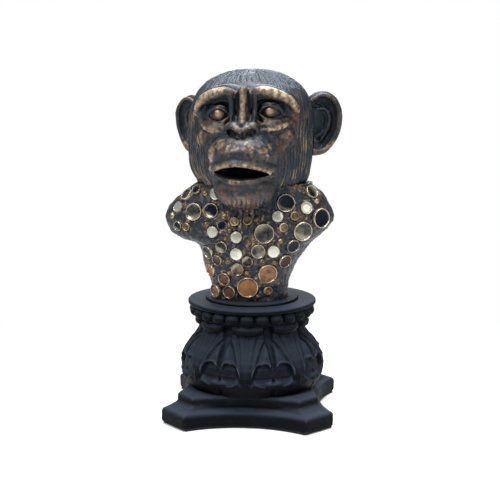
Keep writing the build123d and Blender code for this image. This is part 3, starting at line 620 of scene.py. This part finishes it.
def redraw_foot(torso):
    """Cuts the torso off above its foot and draws the ring there down again, so the foot is plain."""
    activate(torso)
    bpy.ops.object.mode_set(mode="EDIT")
    bpy.ops.mesh.select_all(action="SELECT")
    bpy.ops.mesh.bisect(plane_co=(0, 0, TORSO_FOOT_RING), plane_no=(0, 0, 1), clear_inner=True)
    reached = TORSO_FOOT_RING
    for height, across, deep in TORSO_FOOT_STEPS:
        bpy.ops.mesh.extrude_region_move(TRANSFORM_OT_translate={"value": (0, 0, height - reached)})
        bpy.ops.transform.resize(value=(across, deep, 1), center_override=(0, 0, height))
        reached = height
    bpy.ops.mesh.select_all(action="SELECT")
    bpy.ops.mesh.fill_holes(sides=0)
    bpy.ops.mesh.normals_make_consistent(inside=False)
    bpy.ops.object.mode_set(mode="OBJECT")


def torso_core():
    """A plug that fills the torso's hollow."""
    low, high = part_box("torso")
    deselect()
    bpy.ops.mesh.primitive_cylinder_add(
        vertices=TORSO_CORE_SEGMENTS, radius=TORSO_CORE_RADIUS, depth=high.z - low.z - TORSO_CORE_GAP
    )
    core = bpy.context.object
    core.location = (0, 0, (low.z + high.z) / 2)
    bpy.ops.object.transform_apply(location=True, rotation=False, scale=False)
    return core


def model_torso():
    """The cut-off body, with rough filler between the discs, hair behind and a lock under the chin."""
    body = node_copy("torso", "torso")
    redraw_foot(body)
    torso = fuse("torso_cast", [body, torso_core()], TORSO_SKIN)
    clay = Clay(torso)
    x, y, z = clay.points.T
    front = step(*TORSO_FRONT, y)
    clay.push((0.35 + 0.65 * front) * clay.mixed_grain(TORSO_ROUGH))
    lock = hump(x, THROAT_MIDDLE, THROAT_HALF_WIDTH) * step(*THROAT_FOOT, z) * front
    wave = THROAT_FURROWS * x + 0.8 * clay.grain(9, 6.0)
    clay.push(-lock * THROAT_DEPTH * furrow(wave, 1) ** 2)
    turn = np.arctan2(x, -y) + clay.mixed_grain(TORSO_WANDER)
    locks = 1 - np.abs(np.sin(TORSO_LOCKS * turn + clay.grain(20, 5.0)))
    strands = furrow(turn, TORSO_STRANDS) ** 1.5 + 0.7 * locks**2
    clay.push(-TORSO_STRAND_DEPTH * (1 - front) * strands * step(*TORSO_STRAND_FOOT, z))
    clay.write()
    ridges = clay.ridges(6)
    streaks = 0.6 + clay.mixed_grain(TORSO_STREAKS)
    rub = step(-0.02, 0.4, ridges) * (0.12 + 0.55 * front) * streaks
    rub += front * (0.03 + 0.16 * step(0.1, 0.5, clay.grain(8, 1.0)))
    clay.keep("rub", rub)
    # Painted shade in the sunk places between the discs and the strands
    clay.keep("hollow", step(0.0, -0.8, clay.ridges(10)))
    # Painted sheen on the ridges of the hair behind
    clay.keep("painted_sheen", 0.3 * (1 - front) * step(0.0, 0.4, ridges))
    return torso


# The discs

# The form that each node's discs are turned to
DISC_FORMS = {
    "wide_cups": "cup",
    "large_cups": "cup",
    "medium_cups": "cup",
    "small_cups": "cup",
    "mirror_discs": "mirror",
    "washers": "washer",
    "studs": "stud",
}
FORM_SEGMENTS = {"cup": 40, "mirror": 40, "washer": 32, "stud": 20}

# Each form's outline from the middle of its face to its foot, as shares of its radius and height
FORM_OUTLINES = {
    "cup": [
        (0, 0.30), (0.35, 0.31), (0.62, 0.35), (0.8, 0.42), (0.87, 0.55),
        (0.895, 0.85), (0.925, 1.0), (0.96, 0.97), (1.0, 0.6),
    ],
    "mirror": [
        (0, 1.0), (0.45, 0.98), (0.80, 0.92), (0.88, 0.80),
        (0.91, 0.88), (0.94, 0.98), (0.97, 0.92), (1.0, 0.62),
    ],
    "washer": [
        (0, 0.1), (0.42, 0.12), (0.54, 0.3), (0.6, 0.72), (0.66, 0.94),
        (0.76, 1.0), (0.88, 0.94), (0.96, 0.74), (1.0, 0.5),
    ],
    "stud": [(0, 1.0), (0.3, 0.96), (0.58, 0.82), (0.8, 0.6), (0.94, 0.3), (1.0, 0.0)],
}
RIM_FROM = (0.86, 0.91)
WARM_BELOW = (146, 122)


def islands(obj):
    """The points of each separate solid in a node."""
    mesh = obj.data
    owner = np.arange(len(mesh.vertices))
    ends = np.array([edge.vertices[:] for edge in mesh.edges])
    while True:
        low = np.minimum(owner[ends[:, 0]], owner[ends[:, 1]])
        before = owner.copy()
        np.minimum.at(owner, ends[:, 0], low)
        np.minimum.at(owner, ends[:, 1], low)
        if (owner == before).all():
            break
    points = np.array([vertex.co[:] for vertex in mesh.vertices]) / MM
    return [points[owner == key] for key in np.unique(owner)]


def disc_seat(points):
    """A disc's frame, radius, top and bottom, read from its solid."""
    centre = points.mean(axis=0)
    spread, axes = np.linalg.eigh(np.cov((points - centre).T))
    axis = axes[:, 0] if spread[1] - spread[0] > spread[2] - spread[1] else axes[:, 2]
    if axis @ np.array([centre[0], centre[1], 0.0]) < 0:
        axis = -axis
    along = (points - centre) @ axis
    radius = np.linalg.norm(points - centre - np.outer(along, axis), axis=1).max()
    turn = Vector((0, 0, 1)).rotation_difference(Vector(axis)).to_matrix().to_4x4()
    return Matrix.Translation(Vector(centre)) @ turn, radius, along.max(), along.min()


def turn_disc(form):
    """One disc, turned from its outline at unit size with its face at height one."""
    deselect()
    outline = FORM_OUTLINES[form]
    bpy.ops.mesh.primitive_circle_add(vertices=FORM_SEGMENTS[form], radius=1.0, fill_type="NOTHING")
    disc = bpy.context.object
    bpy.ops.object.mode_set(mode="EDIT")
    bpy.ops.mesh.select_all(action="SELECT")
    bpy.ops.transform.translate(value=(0, 0, -1.0))
    radius, height = 1.0, -1.0
    for share, level in reversed(outline[1:]):
        bpy.ops.mesh.extrude_region_move(TRANSFORM_OT_translate={"value": (0, 0, level - height)})
        bpy.ops.transform.resize(value=(share / radius, share / radius, 1), center_override=(0, 0, level))
        radius, height = share, level
    bpy.ops.mesh.extrude_region_move(TRANSFORM_OT_translate={"value": (0, 0, outline[0][1] - height)})
    bpy.ops.mesh.merge(type="CENTER")
    bpy.ops.mesh.select_all(action="SELECT")
    bpy.ops.mesh.normals_make_consistent(inside=False)
    bpy.ops.object.mode_set(mode="OBJECT")
    bpy.ops.object.shade_smooth()
    return disc


def tone_disc(disc, number, level):
    """Stores a disc's rim, tone and warmth for its finish, which differ with its number and its height; the
    tone also carries a painted reflection across part of the face.
    """
    spots = np.array([vertex.co[:] for vertex in disc.data.vertices])
    rim = step(*RIM_FROM, np.linalg.norm(spots[:, :2], axis=1)) * step(-0.3, 0.3, spots[:, 2])
    warm = float(step(*WARM_BELOW, level)) * (0.65 + 0.35 * sin(7 * number + 1))
    tone = 0.10 + 0.20 * sin(2.399 * number * number + 1.3 * level)
    lean = 3.1 * number + 0.4 * level
    across = spots[:, 0] * sin(lean) + spots[:, 1] * cos(lean)
    # Painted reflection: one side of the face, turned a different way on each disc, is made paler
    painted_reflection = (0.34 + 0.34 * cos(1.7 * number)) * step(0.15, 0.6, across)
    layer = disc.data.attributes.new("disc", "FLOAT_COLOR", "POINT")
    for spot, edge, reflection in zip(layer.data, rim, painted_reflection):
        spot.color = (float(edge), tone + float(reflection), warm, 1)


def model_discs(node):
    """Every disc of a node, turned once and copied to each seat with its own tone."""
    form = DISC_FORMS[node]
    pattern = turn_disc(form)
    solid = node_copy(node, node + "_solid")
    seats = sorted((disc_seat(points) for points in islands(solid)), key=lambda seat: seat[0].translation.x)
    bpy.data.objects.remove(solid)
    copies = []
    for number, (place, radius, top, bottom) in enumerate(seats):
        copy = bpy.data.objects.new(node, pattern.data.copy())
        bpy.context.scene.collection.objects.link(copy)
        tone_disc(copy, number, place.translation.z)
        middle = top - radius if form == "stud" else 0.5 * (top + bottom)
        size = Matrix.Diagonal((radius, radius, top - middle, 1))
        copy.data.transform(Matrix.Scale(MM, 4) @ place @ Matrix.Translation((0, 0, middle)) @ size)
        copies.append(copy)
    bpy.data.objects.remove(pattern)
    deselect()
    for copy in copies:
        copy.select_set(True)
    bpy.context.view_layer.objects.active = copies[0]
    bpy.ops.object.join()
    discs = bpy.context.object
    discs.name = node + "_turned"
    return discs


# The pedestal

LEAVES = 8
DRUM_RINGS = 150
DRUM_SEGMENTS = 528
DRUM_SMOOTHING = 2
WALL_RISE = 0.01
DRUM_GRAIN = [(0.18, 6, 0.0), (0.08, 2.5, 2.0)]
PLINTH_GRAIN = [(0.22, 9, 0.0), (0.10, 3, 2.0)]

# Levels are shares of the drum's height, from its foot. The drum's plain radius, by level.
DRUM_PROFILE = (
    [0, 0.1, 0.2, 0.3, 0.4, 0.5, 0.6, 0.7, 0.8, 0.9, 1.0],
    [54, 56.6, 58.3, 59, 58, 55.3, 51.2, 46.5, 42.3, 40.6, 41],
)
LEAF_HEIGHT = 60

# How far a leaf stands out: all over, above its foot and more at its midrib
LEAF_RISE = 3.0
LEAF_FOOT_RISE = 1.2
LEAF_CROWN = 1.3
LEAF_EDGE = 1.6

# Half the slit between two leaves, by level
LEAF_SLIT = ([0, 0.2, 0.5, 0.7, 0.85, 1.0], [0.4, 0.8, 1.1, 1.7, 2.9, 3.1])

# Pairs of grooves: distance from the midrib by level, depth and width
LEAF_GROOVES = [
    (([0.18, 0.41, 0.68, 0.81, 0.92], [4.2, 8.0, 12.0, 16.0, 19.0]), 2.6, 1.7),
    (([0.18, 0.45, 0.7, 0.9], [2.4, 4.2, 6.2, 9.0]), 1.3, 1.1),
    (([0, 1], [1.3, 1.3]), 0.9, 0.7),
]
GROOVE_START = (0.14, 0.26)
GROOVE_END = (0.91, 0.83)

# The side lobe's swell, the hollow under it with its lip, the curled end and the tip.
# A place is a distance from the midrib and a level.
LOBE_PLACE = (15.5, 0.61)
LOBE_SIZE = (5.0, 0.13)
LOBE_SWELL = 1.8
HOLLOW_PLACE = (14.2, 0.33)
HOLLOW_SIZE = (8.6, 0.17)
HOLLOW_DEPTH = 4.2
HOLLOW_FOOT = (0.13, 0.30)
HOLLOW_LIP = 1.1
HOLLOW_LIP_FROM = (0.30, 0.42)
CURL_PLACE = (19.5, 0.165)
CURL_RADIUS = 4.6
CURL_SEAT = 2.4
CURL_RISE = 3.4
TIP_HALF_WIDTH = 14.0
TIP_LEVEL = 0.945
TIP_BOW = 0.03
TIP_HALF_HEIGHT = (0.025, 0.045)
TIP_RISE = 4.6


def leaf_relief(across, level, half_pitch):
    """How far the carving stands out: one leaf across from its midrib, and up the drum as a share."""
    side = np.abs(across)
    inside = step(0, LEAF_EDGE, half_pitch - np.interp(level, *LEAF_SLIT) - side)
    crown = LEAF_CROWN * (1 - (side / half_pitch) ** 2)
    relief = inside * (LEAF_RISE + LEAF_FOOT_RISE * step(0.0, 0.12, level) + crown)

    # Three pairs of grooves run up from the leaf's foot and spread towards its top
    grooves = sum(depth * hump(side, np.interp(level, *path), width) for path, depth, width in LEAF_GROOVES)
    relief -= inside * grooves * step(*GROOVE_START, level) * step(*GROOVE_END, level)

    # The side lobes swell out and end in an arched lip over a hollow
    swell = hump(side, LOBE_PLACE[0], LOBE_SIZE[0]) * hump(level, LOBE_PLACE[1], LOBE_SIZE[1])
    relief += inside * LOBE_SWELL * swell
    hollow = np.hypot((side - HOLLOW_PLACE[0]) / HOLLOW_SIZE[0], (level - HOLLOW_PLACE[1]) / HOLLOW_SIZE[1])
    relief -= inside * HOLLOW_DEPTH * step(1.0, 0.82, hollow) * step(*HOLLOW_FOOT, level)
    relief += inside * HOLLOW_LIP * hump(hollow, 1.08, 0.08) * step(*HOLLOW_LIP_FROM, level)

    # A curled end sits low beside each hollow, and the tip rolls forward under the beads
    curl = np.hypot(side - CURL_PLACE[0], LEAF_HEIGHT * (level - CURL_PLACE[1])) / CURL_RADIUS
    ball = CURL_SEAT + CURL_RISE * np.sqrt((1 - curl**2).clip(0, 1))
    relief = np.maximum(relief, np.where(curl < 1, ball, 0))
    bow = (1 - (across / TIP_HALF_WIDTH) ** 2).clip(0, 1)
    half_height = TIP_HALF_HEIGHT[0] + TIP_HALF_HEIGHT[1] * np.sqrt(bow)
    from_middle = (level - (TIP_LEVEL - TIP_BOW * bow)) / half_height
    return relief + TIP_RISE * np.sqrt((1 - from_middle**2).clip(0, 1)) * np.sqrt(bow)


def keep_highlight_and_shade(clay, proud, sunk, sunk_rounds):
    """Marks the edges that stand proud for a painted highlight and the places that lie sunk for painted shade.
    """
    clay.keep("rub", step(0.1, proud, clay.ridges(10)))
    clay.keep("hollow", step(0.0, -sunk, clay.ridges(sunk_rounds)))


def ringed_cylinder():
    """A cylinder as tall as the drum, with rings enough to carve."""
    low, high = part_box("leaf_drum")
    deselect()
    foot_radius = DRUM_PROFILE[1][0] * MM
    bpy.ops.mesh.primitive_cylinder_add(
        vertices=DRUM_SEGMENTS, radius=foot_radius, depth=high.z - low.z, end_fill_type="NGON"
    )
    drum = bpy.context.object
    drum.location = (0, 0, (low.z + high.z) / 2)
    bpy.ops.object.transform_apply(location=True, rotation=False, scale=False)
    bpy.ops.object.mode_set(mode="EDIT")
    shape = bmesh.from_edit_mesh(drum.data)
    walls = [edge for edge in shape.edges if abs(edge.verts[0].co.z - edge.verts[1].co.z) > WALL_RISE]
    bmesh.ops.subdivide_edges(shape, edges=walls, cuts=DRUM_RINGS, use_grid_fill=True)
    bmesh.update_edit_mesh(drum.data)
    bpy.ops.object.mode_set(mode="OBJECT")
    return drum


def model_drum():
    """The drum, turned as a plain shape and carved with leaves."""
    low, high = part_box("leaf_drum")
    drum = ringed_cylinder()
    drum.name = "leaf_drum_carved"
    clay = Clay(drum)
    x, y, z = clay.points.T
    level = ((z - low.z / MM) / ((high.z - low.z) / MM)).clip(0, 1)
    turn = np.arctan2(x, -y)
    pitch = 2 * pi / LEAVES
    from_leaf = (turn + pitch / 2) % pitch - pitch / 2
    plain = np.interp(level, *DRUM_PROFILE)
    radius = plain + leaf_relief(from_leaf * plain, level, plain * pitch / 2)
    clay.points[:, 0] = radius * np.sin(turn)
    clay.points[:, 1] = -radius * np.cos(turn)
    clay.write()
    clay.push(clay.mixed_grain(DRUM_GRAIN))
    clay.write()
    apply_modifier(drum, "SMOOTH", factor=SMOOTH_FACTOR, iterations=DRUM_SMOOTHING)
    keep_highlight_and_shade(Clay(drum), proud=1.2, sunk=1.4, sunk_rounds=16)
    return drum


def model_plinth():
    """The plinth with the softened edges of a casting."""
    plinth = fuse("plinth_cast", [node_copy("plinth", "plinth_cast")], PLINTH_SKIN)
    clay = Clay(plinth)
    clay.push(clay.mixed_grain(PLINTH_GRAIN))
    clay.write()
    keep_highlight_and_shade(clay, proud=0.9, sunk=1.0, sunk_rounds=14)
    return plinth


# Finishes

CHARCOAL = (0.012, 0.013, 0.016)
# Painted shade, laid over the hollows that the pieces mark
PAINTED_SHADE = (0.003, 0.003, 0.004)
UMBER = (0.082, 0.056, 0.036)
OLD_GOLD = (0.27, 0.203, 0.133)
PALE_GOLD = (0.58, 0.485, 0.35)
# A painted sheen for the hair's ridges, paler towards the crown
SHEEN_SLATE = (0.048, 0.054, 0.068)
# A painted top light, pale blue, for the pedestal's upward faces
PAINTED_TOP_LIGHT = (0.038, 0.048, 0.068)
RUST = (0.17, 0.062, 0.026)
BLUE_SHEEN = (0.62, 0.80, 1.0)
BUST_PAINT = [(0.06, CHARCOAL), (0.25, UMBER), (0.52, OLD_GOLD), (0.88, PALE_GOLD)]
# Pedestal charcoal from darkest to dark, then the pale blue of the painted highlight on raised edges
PEDESTAL_PAINT = [(0.1, (0.002, 0.002, 0.0022)), (0.35, (0.0042, 0.0042, 0.0048)), (0.9, (0.048, 0.058, 0.078))]
FELT = [(0.3, (0.006, 0.006, 0.007)), (0.7, (0.02, 0.02, 0.022))]

# The eye's colours, by distance from the middle of the iris as a share of the ball's radius
EYE_RINGS = [
    (0.10, (0.33, 0.25, 0.19)), (0.30, (0.21, 0.14, 0.10)),
    (0.42, (0.06, 0.035, 0.022)), (0.54, (0.008, 0.008, 0.009)),
]
GAZE_TURN = 0.9
GAZE_RISE = 0.08

# Metals of the discs: the face from dark to pale, the rim, and how rough
DISC_RUST = (0.25, 0.115, 0.045)
SMOKED_GLASS = ((0.008, 0.011, 0.018), (0.36, 0.33, 0.25), (0.56, 0.50, 0.38), 0.16)
SILVERED_MIRROR = ((0.50, 0.50, 0.42), (0.80, 0.80, 0.70), (0.16, 0.14, 0.10), 0.12)
RUBBED_GOLD = ((0.12, 0.09, 0.055), (0.50, 0.42, 0.28), (0.52, 0.44, 0.29), 0.3)
METAL_ROUGH_SPREAD = 0.25


class Mixer:
    """Mixes a finish or a light from the nodes of a tree."""

    def __init__(self, tree):
        self.nodes = tree.nodes
        self.links = tree.links

    def add(self, kind, **settings):
        """A new node, with its inputs or its options set."""
        node = self.nodes.new(kind)
        for name, value in settings.items():
            if name in node.inputs:
                node.inputs[name].default_value = value
            else:
                setattr(node, name, value)
        return node

    def place(self):
        """The place on the piece."""
        return self.add("ShaderNodeTexCoord").outputs["Object"]

    def stored(self, name):
        """What the modelling stored on the piece's points."""
        return self.add("ShaderNodeAttribute", attribute_name=name).outputs["Fac"]

    def speckle(self, scale, detail=4.0, roughness=0.6):
        """Fine noise over the piece."""
        texture = self.add("ShaderNodeTexNoise", Scale=scale, Detail=detail, Roughness=roughness)
        self.links.new(self.place(), texture.inputs["Vector"])
        return texture.outputs["Fac"]

    def combine(self, operation, *values, clamp=False):
        """Values or numbers put together by an operation."""
        node = self.add("ShaderNodeMath", operation=operation, use_clamp=clamp)
        for socket, value in zip(node.inputs, values):
            if hasattr(value, "is_linked"):
                self.links.new(value, socket)
            else:
                socket.default_value = value
        return node.outputs[0]

    def spread(self, value, **ends):
        """A value spread between other ends."""
        node = self.add("ShaderNodeMapRange", **ends)
        self.links.new(value, node.inputs["Value"])
        return node.outputs["Result"]

    def ramp(self, value, stops):
        """A colour ramp through stops of place and colour."""
        node = self.nodes.new("ShaderNodeValToRGB")
        elements = node.color_ramp.elements
        while len(elements) < len(stops):
            elements.new(0.5)
        for element, (place, colour) in zip(elements, stops):
            element.position = place
            element.color = (*colour, 1)
        self.links.new(value, node.inputs["Fac"])
        return node.outputs["Color"]

    def tint(self, colour, shade, amount):
        """A colour drawn towards a shade by an amount."""
        mix = self.add("ShaderNodeMix", data_type="RGBA")
        self.links.new(amount, mix.inputs["Factor"])
        self.links.new(colour, mix.inputs["A"])
        mix.inputs["B"].default_value = (*shade, 1)
        return mix.outputs["Result"]


class Finish(Mixer):
    """A finish for a piece: a material whose shader is fed by mixed nodes."""

    def __init__(self, name):
        self.material = bpy.data.materials.new(name)
        self.material.use_nodes = True
        super().__init__(self.material.node_tree)
        self.shader = self.nodes["Principled BSDF"]

    def feed(self, socket, value):
        """Feeds a shader's socket with a mixed value."""
        self.links.new(value, self.shader.inputs[socket])

    def fix(self, socket, value):
        """Sets a shader's socket to one value."""
        self.shader.inputs[socket].default_value = value

    def rough_between(self, value, low, high):
        """Roughness that a value varies."""
        self.feed("Roughness", self.spread(value, **{"To Min": low, "To Max": high}))

    def bump(self, height, strength, distance):
        """Fine grain of the surface."""
        node = self.add("ShaderNodeBump", Strength=strength, Distance=distance)
        self.links.new(height, node.inputs["Height"])
        self.feed("Normal", node.outputs["Normal"])


def bust_finish():
    """Charcoal paint with gold rubbed over the high places, a painted sheen on the hair's ridges and painted
    shade in the hollows.
    """
    paint = Finish("rubbed_charcoal")
    fine = paint.speckle(420.0)
    broad = paint.speckle(90.0, 5.0, 0.65)
    grain = paint.combine("ADD", paint.combine("MULTIPLY", fine, 0.5), broad)
    grain = paint.combine("SUBTRACT", grain, 0.78)
    worn = paint.combine("MULTIPLY_ADD", grain, 0.55, paint.stored("rub"))
    colour = paint.ramp(worn, BUST_PAINT)
    patches = paint.combine("MULTIPLY", broad, 1.1)
    colour = paint.tint(colour, RUST, paint.combine("MULTIPLY", paint.stored("rust"), patches, clamp=True))
    # Painted sheen on the hair's ridges
    colour = paint.tint(colour, SHEEN_SLATE, paint.stored("painted_sheen"))
    # Painted shade in the hollows
    colour = paint.tint(colour, PAINTED_SHADE, paint.combine("MULTIPLY", paint.stored("hollow"), 0.92))
    paint.feed("Base Color", colour)
    paint.feed("Metallic", paint.combine("MULTIPLY", worn, 0.6, clamp=True))
    paint.fix("Specular IOR Level", 0.42)
    paint.fix("Specular Tint", (*BLUE_SHEEN, 1))
    paint.rough_between(broad, 0.34, 0.55)
    paint.bump(paint.combine("ADD", fine, broad), 0.35, 0.0006)
    return paint.material


def pedestal_finish():
    """Matte charcoal paint with painted highlights on the raised edges, a painted blue top light on upward
    faces and painted shade in the hollows.
    """
    paint = Finish("matte_charcoal")
    fine = paint.speckle(520.0)
    broad = paint.speckle(60.0, 5.0)
    # Painted highlight: raised edges drawn towards a pale blue
    edges = paint.combine("MULTIPLY", paint.stored("rub"), 0.75)
    colour = paint.ramp(paint.combine("MULTIPLY_ADD", broad, 0.35, edges), PEDESTAL_PAINT)
    # Painted top light: faces that look upward are drawn towards a pale blue
    facing = paint.add("ShaderNodeSeparateXYZ")
    paint.links.new(paint.add("ShaderNodeNewGeometry").outputs["Normal"], facing.inputs["Vector"])
    colour = paint.tint(colour, PAINTED_TOP_LIGHT, paint.combine("MULTIPLY", facing.outputs["Z"], 0.75, clamp=True))
    # Painted shade in the hollows
    colour = paint.tint(colour, PAINTED_SHADE, paint.combine("MULTIPLY", paint.stored("hollow"), 0.8))
    paint.feed("Base Color", colour)
    paint.fix("Specular IOR Level", 0.07)
    paint.fix("Specular Tint", (*BLUE_SHEEN, 1))
    paint.rough_between(broad, 0.50, 0.70)
    paint.bump(paint.combine("ADD", fine, broad), 0.25, 0.0005)
    return paint.material


def disc_finish(name, metal):
    """Turned metal: a toned face, a rubbed rim, and rust-brown low on the chest."""
    dark, pale, rim_colour, roughness = metal
    paint = Finish(name)
    parts = paint.add("ShaderNodeSeparateColor")
    disc = paint.add("ShaderNodeAttribute", attribute_name="disc")
    paint.links.new(disc.outputs["Color"], parts.inputs["Color"])
    rim, tone, warmth = parts.outputs
    blotch = paint.speckle(160.0, 5.0, 0.65)
    # The tone carries the painted reflection as well as the disc's own tone
    toned = paint.combine("MULTIPLY_ADD", paint.combine("SUBTRACT", blotch, 0.5), 1.1, tone)
    colour = paint.ramp(toned, [(0.15, dark), (0.95, pale)])
    for amount, shade in ((warmth, DISC_RUST), (rim, rim_colour)):
        patchy = paint.combine("SUBTRACT", paint.combine("MULTIPLY", blotch, 2.4), 0.45)
        colour = paint.tint(colour, shade, paint.combine("MULTIPLY", amount, patchy, clamp=True))
    paint.feed("Base Color", colour)
    paint.fix("Metallic", 0.8)
    paint.rough_between(blotch, roughness, roughness + METAL_ROUGH_SPREAD)
    paint.bump(blotch, 0.15, 0.0004)
    return paint.material


def eye_finish(node):
    """A dark eyeball with a gold iris on its front."""
    paint = Finish(node + "_paint")
    low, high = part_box(node)
    radius = (high.x - low.x) / 2
    gaze = Vector((sin(HEAD_TURN) * GAZE_TURN, -cos(HEAD_TURN), GAZE_RISE)).normalized()
    away = paint.add("ShaderNodeVectorMath", operation="DISTANCE")
    paint.links.new(paint.place(), away.inputs[0])
    away.inputs[1].default_value = (low + high) / 2 + gaze * radius
    share = paint.combine("DIVIDE", away.outputs["Value"], radius)
    flecks = paint.speckle(500.0)
    share = paint.combine("ADD", share, paint.combine("MULTIPLY", flecks, 0.12))
    paint.feed("Base Color", paint.ramp(share, EYE_RINGS))
    paint.fix("Metallic", 0.25)
    paint.fix("Roughness", 0.28)
    paint.bump(flecks, 0.1, 0.0003)
    return paint.material


def felt_finish():
    """Black felt."""
    paint = Finish("black_felt")
    fibre = paint.speckle(900.0, 6.0)
    paint.feed("Base Color", paint.ramp(fibre, FELT))
    paint.fix("Roughness", 0.95)
    paint.bump(fibre, 0.5, 0.0005)
    return paint.material


def dress(obj, material, slot, *nodes):
    """Paints a piece, lets it ride on the body and hides the nodes that it stands for."""
    obj.data.materials.clear()
    obj.data.materials.append(material)
    activate(obj)
    bpy.ops.object.shade_smooth()
    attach(obj, "root")
    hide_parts(*nodes)


def paint_node(node, material):
    """Gives a node that keeps its own shape a better finish."""
    NODES[node].data.materials.clear()
    NODES[node].data.materials.append(material)


# Putting it together


def build_object():
    """Models and paints every piece."""
    bust = bust_finish()
    pedestal = pedestal_finish()
    dress(model_head(), bust, "bust_resin", "head")
    for node in EARS:
        dress(model_ear(node), bust, "bust_resin", node)
    dress(model_torso(), bust, "bust_resin", "torso")
    dress(model_drum(), pedestal, "pedestal_resin", "leaf_drum")
    dress(model_plinth(), pedestal, "pedestal_resin", "plinth")
    for node in ("cap", "bead_course"):
        paint_node(node, pedestal)
    paint_node("foot_felt", felt_finish())
    for node in ("left_eye", "right_eye"):
        paint_node(node, eye_finish(node))
    gold = (disc_finish("rubbed_gold", RUBBED_GOLD), "disc_gold")
    finishes = {
        "cup": (disc_finish("smoked_glass", SMOKED_GLASS), "disc_bronze"),
        "mirror": (disc_finish("silvered_mirror", SILVERED_MIRROR), "disc_mirror"),
        "washer": gold,
        "stud": gold,
    }
    for node, form in DISC_FORMS.items():
        material, slot = finishes[form]
        dress(model_discs(node), material, slot, node)


# The stage, in metres

FLOOR_SIZE = 8.0
FLOOR_WHITE = (0.9, 0.9, 0.9, 1)
FLOOR_FADE = {"From Min": 0.1, "From Max": 0.42}
ROOM_LIGHT = {"To Min": 0.32, "To Max": 1.0}

# Each lamp's name, place, size and power
LAMPS = [
    ("key", (-0.40, -0.80, 1.00), 0.5, 10.0),
    ("fill", (0.75, -0.8, 0.45), 0.6, 2.0),
    ("top", (0.05, -0.05, 1.15), 0.6, 18.0),
    ("back", (0.0, 0.85, 0.95), 0.8, 12.0),
]
LAMP_AIM = Vector((0, 0, 0.17))

# The photograph's camera, found from the plinth's corners and the cap's ellipse
VIEW_AZIMUTH = radians(5.0)
VIEW_ELEVATION = radians(9.5)
VIEW_DISTANCE = 0.9
VIEW_AIM = Vector((-0.0018, 0, 0.1435))
VIEW_LENS = 73.5
VIEW_SENSOR = 36


def lay_floor():
    """A white floor that keeps the shadow and fades into the white background."""
    deselect()
    bpy.ops.mesh.primitive_plane_add(size=FLOOR_SIZE, location=(0, 0, 0))
    floor = bpy.context.object
    floor.name = "floor"
    paint = Finish("white_floor")
    paint.fix("Base Color", FLOOR_WHITE)
    paint.fix("Roughness", 0.9)
    paint.fix("Specular IOR Level", 0.0)
    away = paint.add("ShaderNodeVectorMath", operation="LENGTH")
    paint.links.new(paint.place(), away.inputs[0])
    fade = paint.spread(away.outputs["Value"], **FLOOR_FADE)
    rays = paint.add("ShaderNodeLightPath").outputs
    seen = paint.combine("MAXIMUM", rays["Is Camera Ray"], rays["Is Glossy Ray"])
    seen = paint.combine("MAXIMUM", seen, rays["Is Transmission Ray"])
    mix = paint.add("ShaderNodeMixShader")
    paint.links.new(paint.combine("MULTIPLY", fade, seen), mix.inputs["Fac"])
    paint.links.new(paint.shader.outputs["BSDF"], mix.inputs[1])
    paint.links.new(paint.add("ShaderNodeEmission").outputs["Emission"], mix.inputs[2])
    paint.links.new(mix.outputs["Shader"], paint.nodes["Material Output"].inputs["Surface"])
    floor.data.materials.append(paint.material)


def light_room():
    """A room that is white to the camera and dimmer as a light, with soft lamps."""
    world = bpy.data.worlds.new("white_room")
    bpy.context.scene.world = world
    world.use_nodes = True
    light = Mixer(world.node_tree)
    rays = light.add("ShaderNodeLightPath").outputs
    seen = light.combine("MAXIMUM", rays["Is Camera Ray"], rays["Is Transmission Ray"])
    background = light.nodes["Background"]
    background.inputs["Color"].default_value = (1, 1, 1, 1)
    light.links.new(light.spread(seen, **ROOM_LIGHT), background.inputs["Strength"])
    for name, place, size, power in LAMPS:
        bulb = bpy.data.lights.new(name, "AREA")
        bulb.size = size
        bulb.energy = power
        lamp = bpy.data.objects.new(name, bulb)
        lamp.location = place
        lamp.rotation_euler = (LAMP_AIM - Vector(place)).to_track_quat("-Z", "Y").to_euler()
        bpy.context.scene.collection.objects.link(lamp)


def set_camera():
    """The photograph's camera."""
    camera = bpy.data.objects.new("camera", bpy.data.cameras.new("camera"))
    bpy.context.scene.collection.objects.link(camera)
    level = cos(VIEW_ELEVATION)
    out = Vector((sin(VIEW_AZIMUTH) * level, -cos(VIEW_AZIMUTH) * level, sin(VIEW_ELEVATION)))
    camera.location = VIEW_AIM + VIEW_DISTANCE * out
    camera.rotation_euler = (-out).to_track_quat("-Z", "Y").to_euler()
    camera.data.lens = VIEW_LENS
    camera.data.sensor_width = VIEW_SENSOR
    bpy.context.scene.camera = camera
    bpy.context.scene.view_settings.view_transform = "Standard"


build_object()
lay_floor()
light_room()
set_camera()
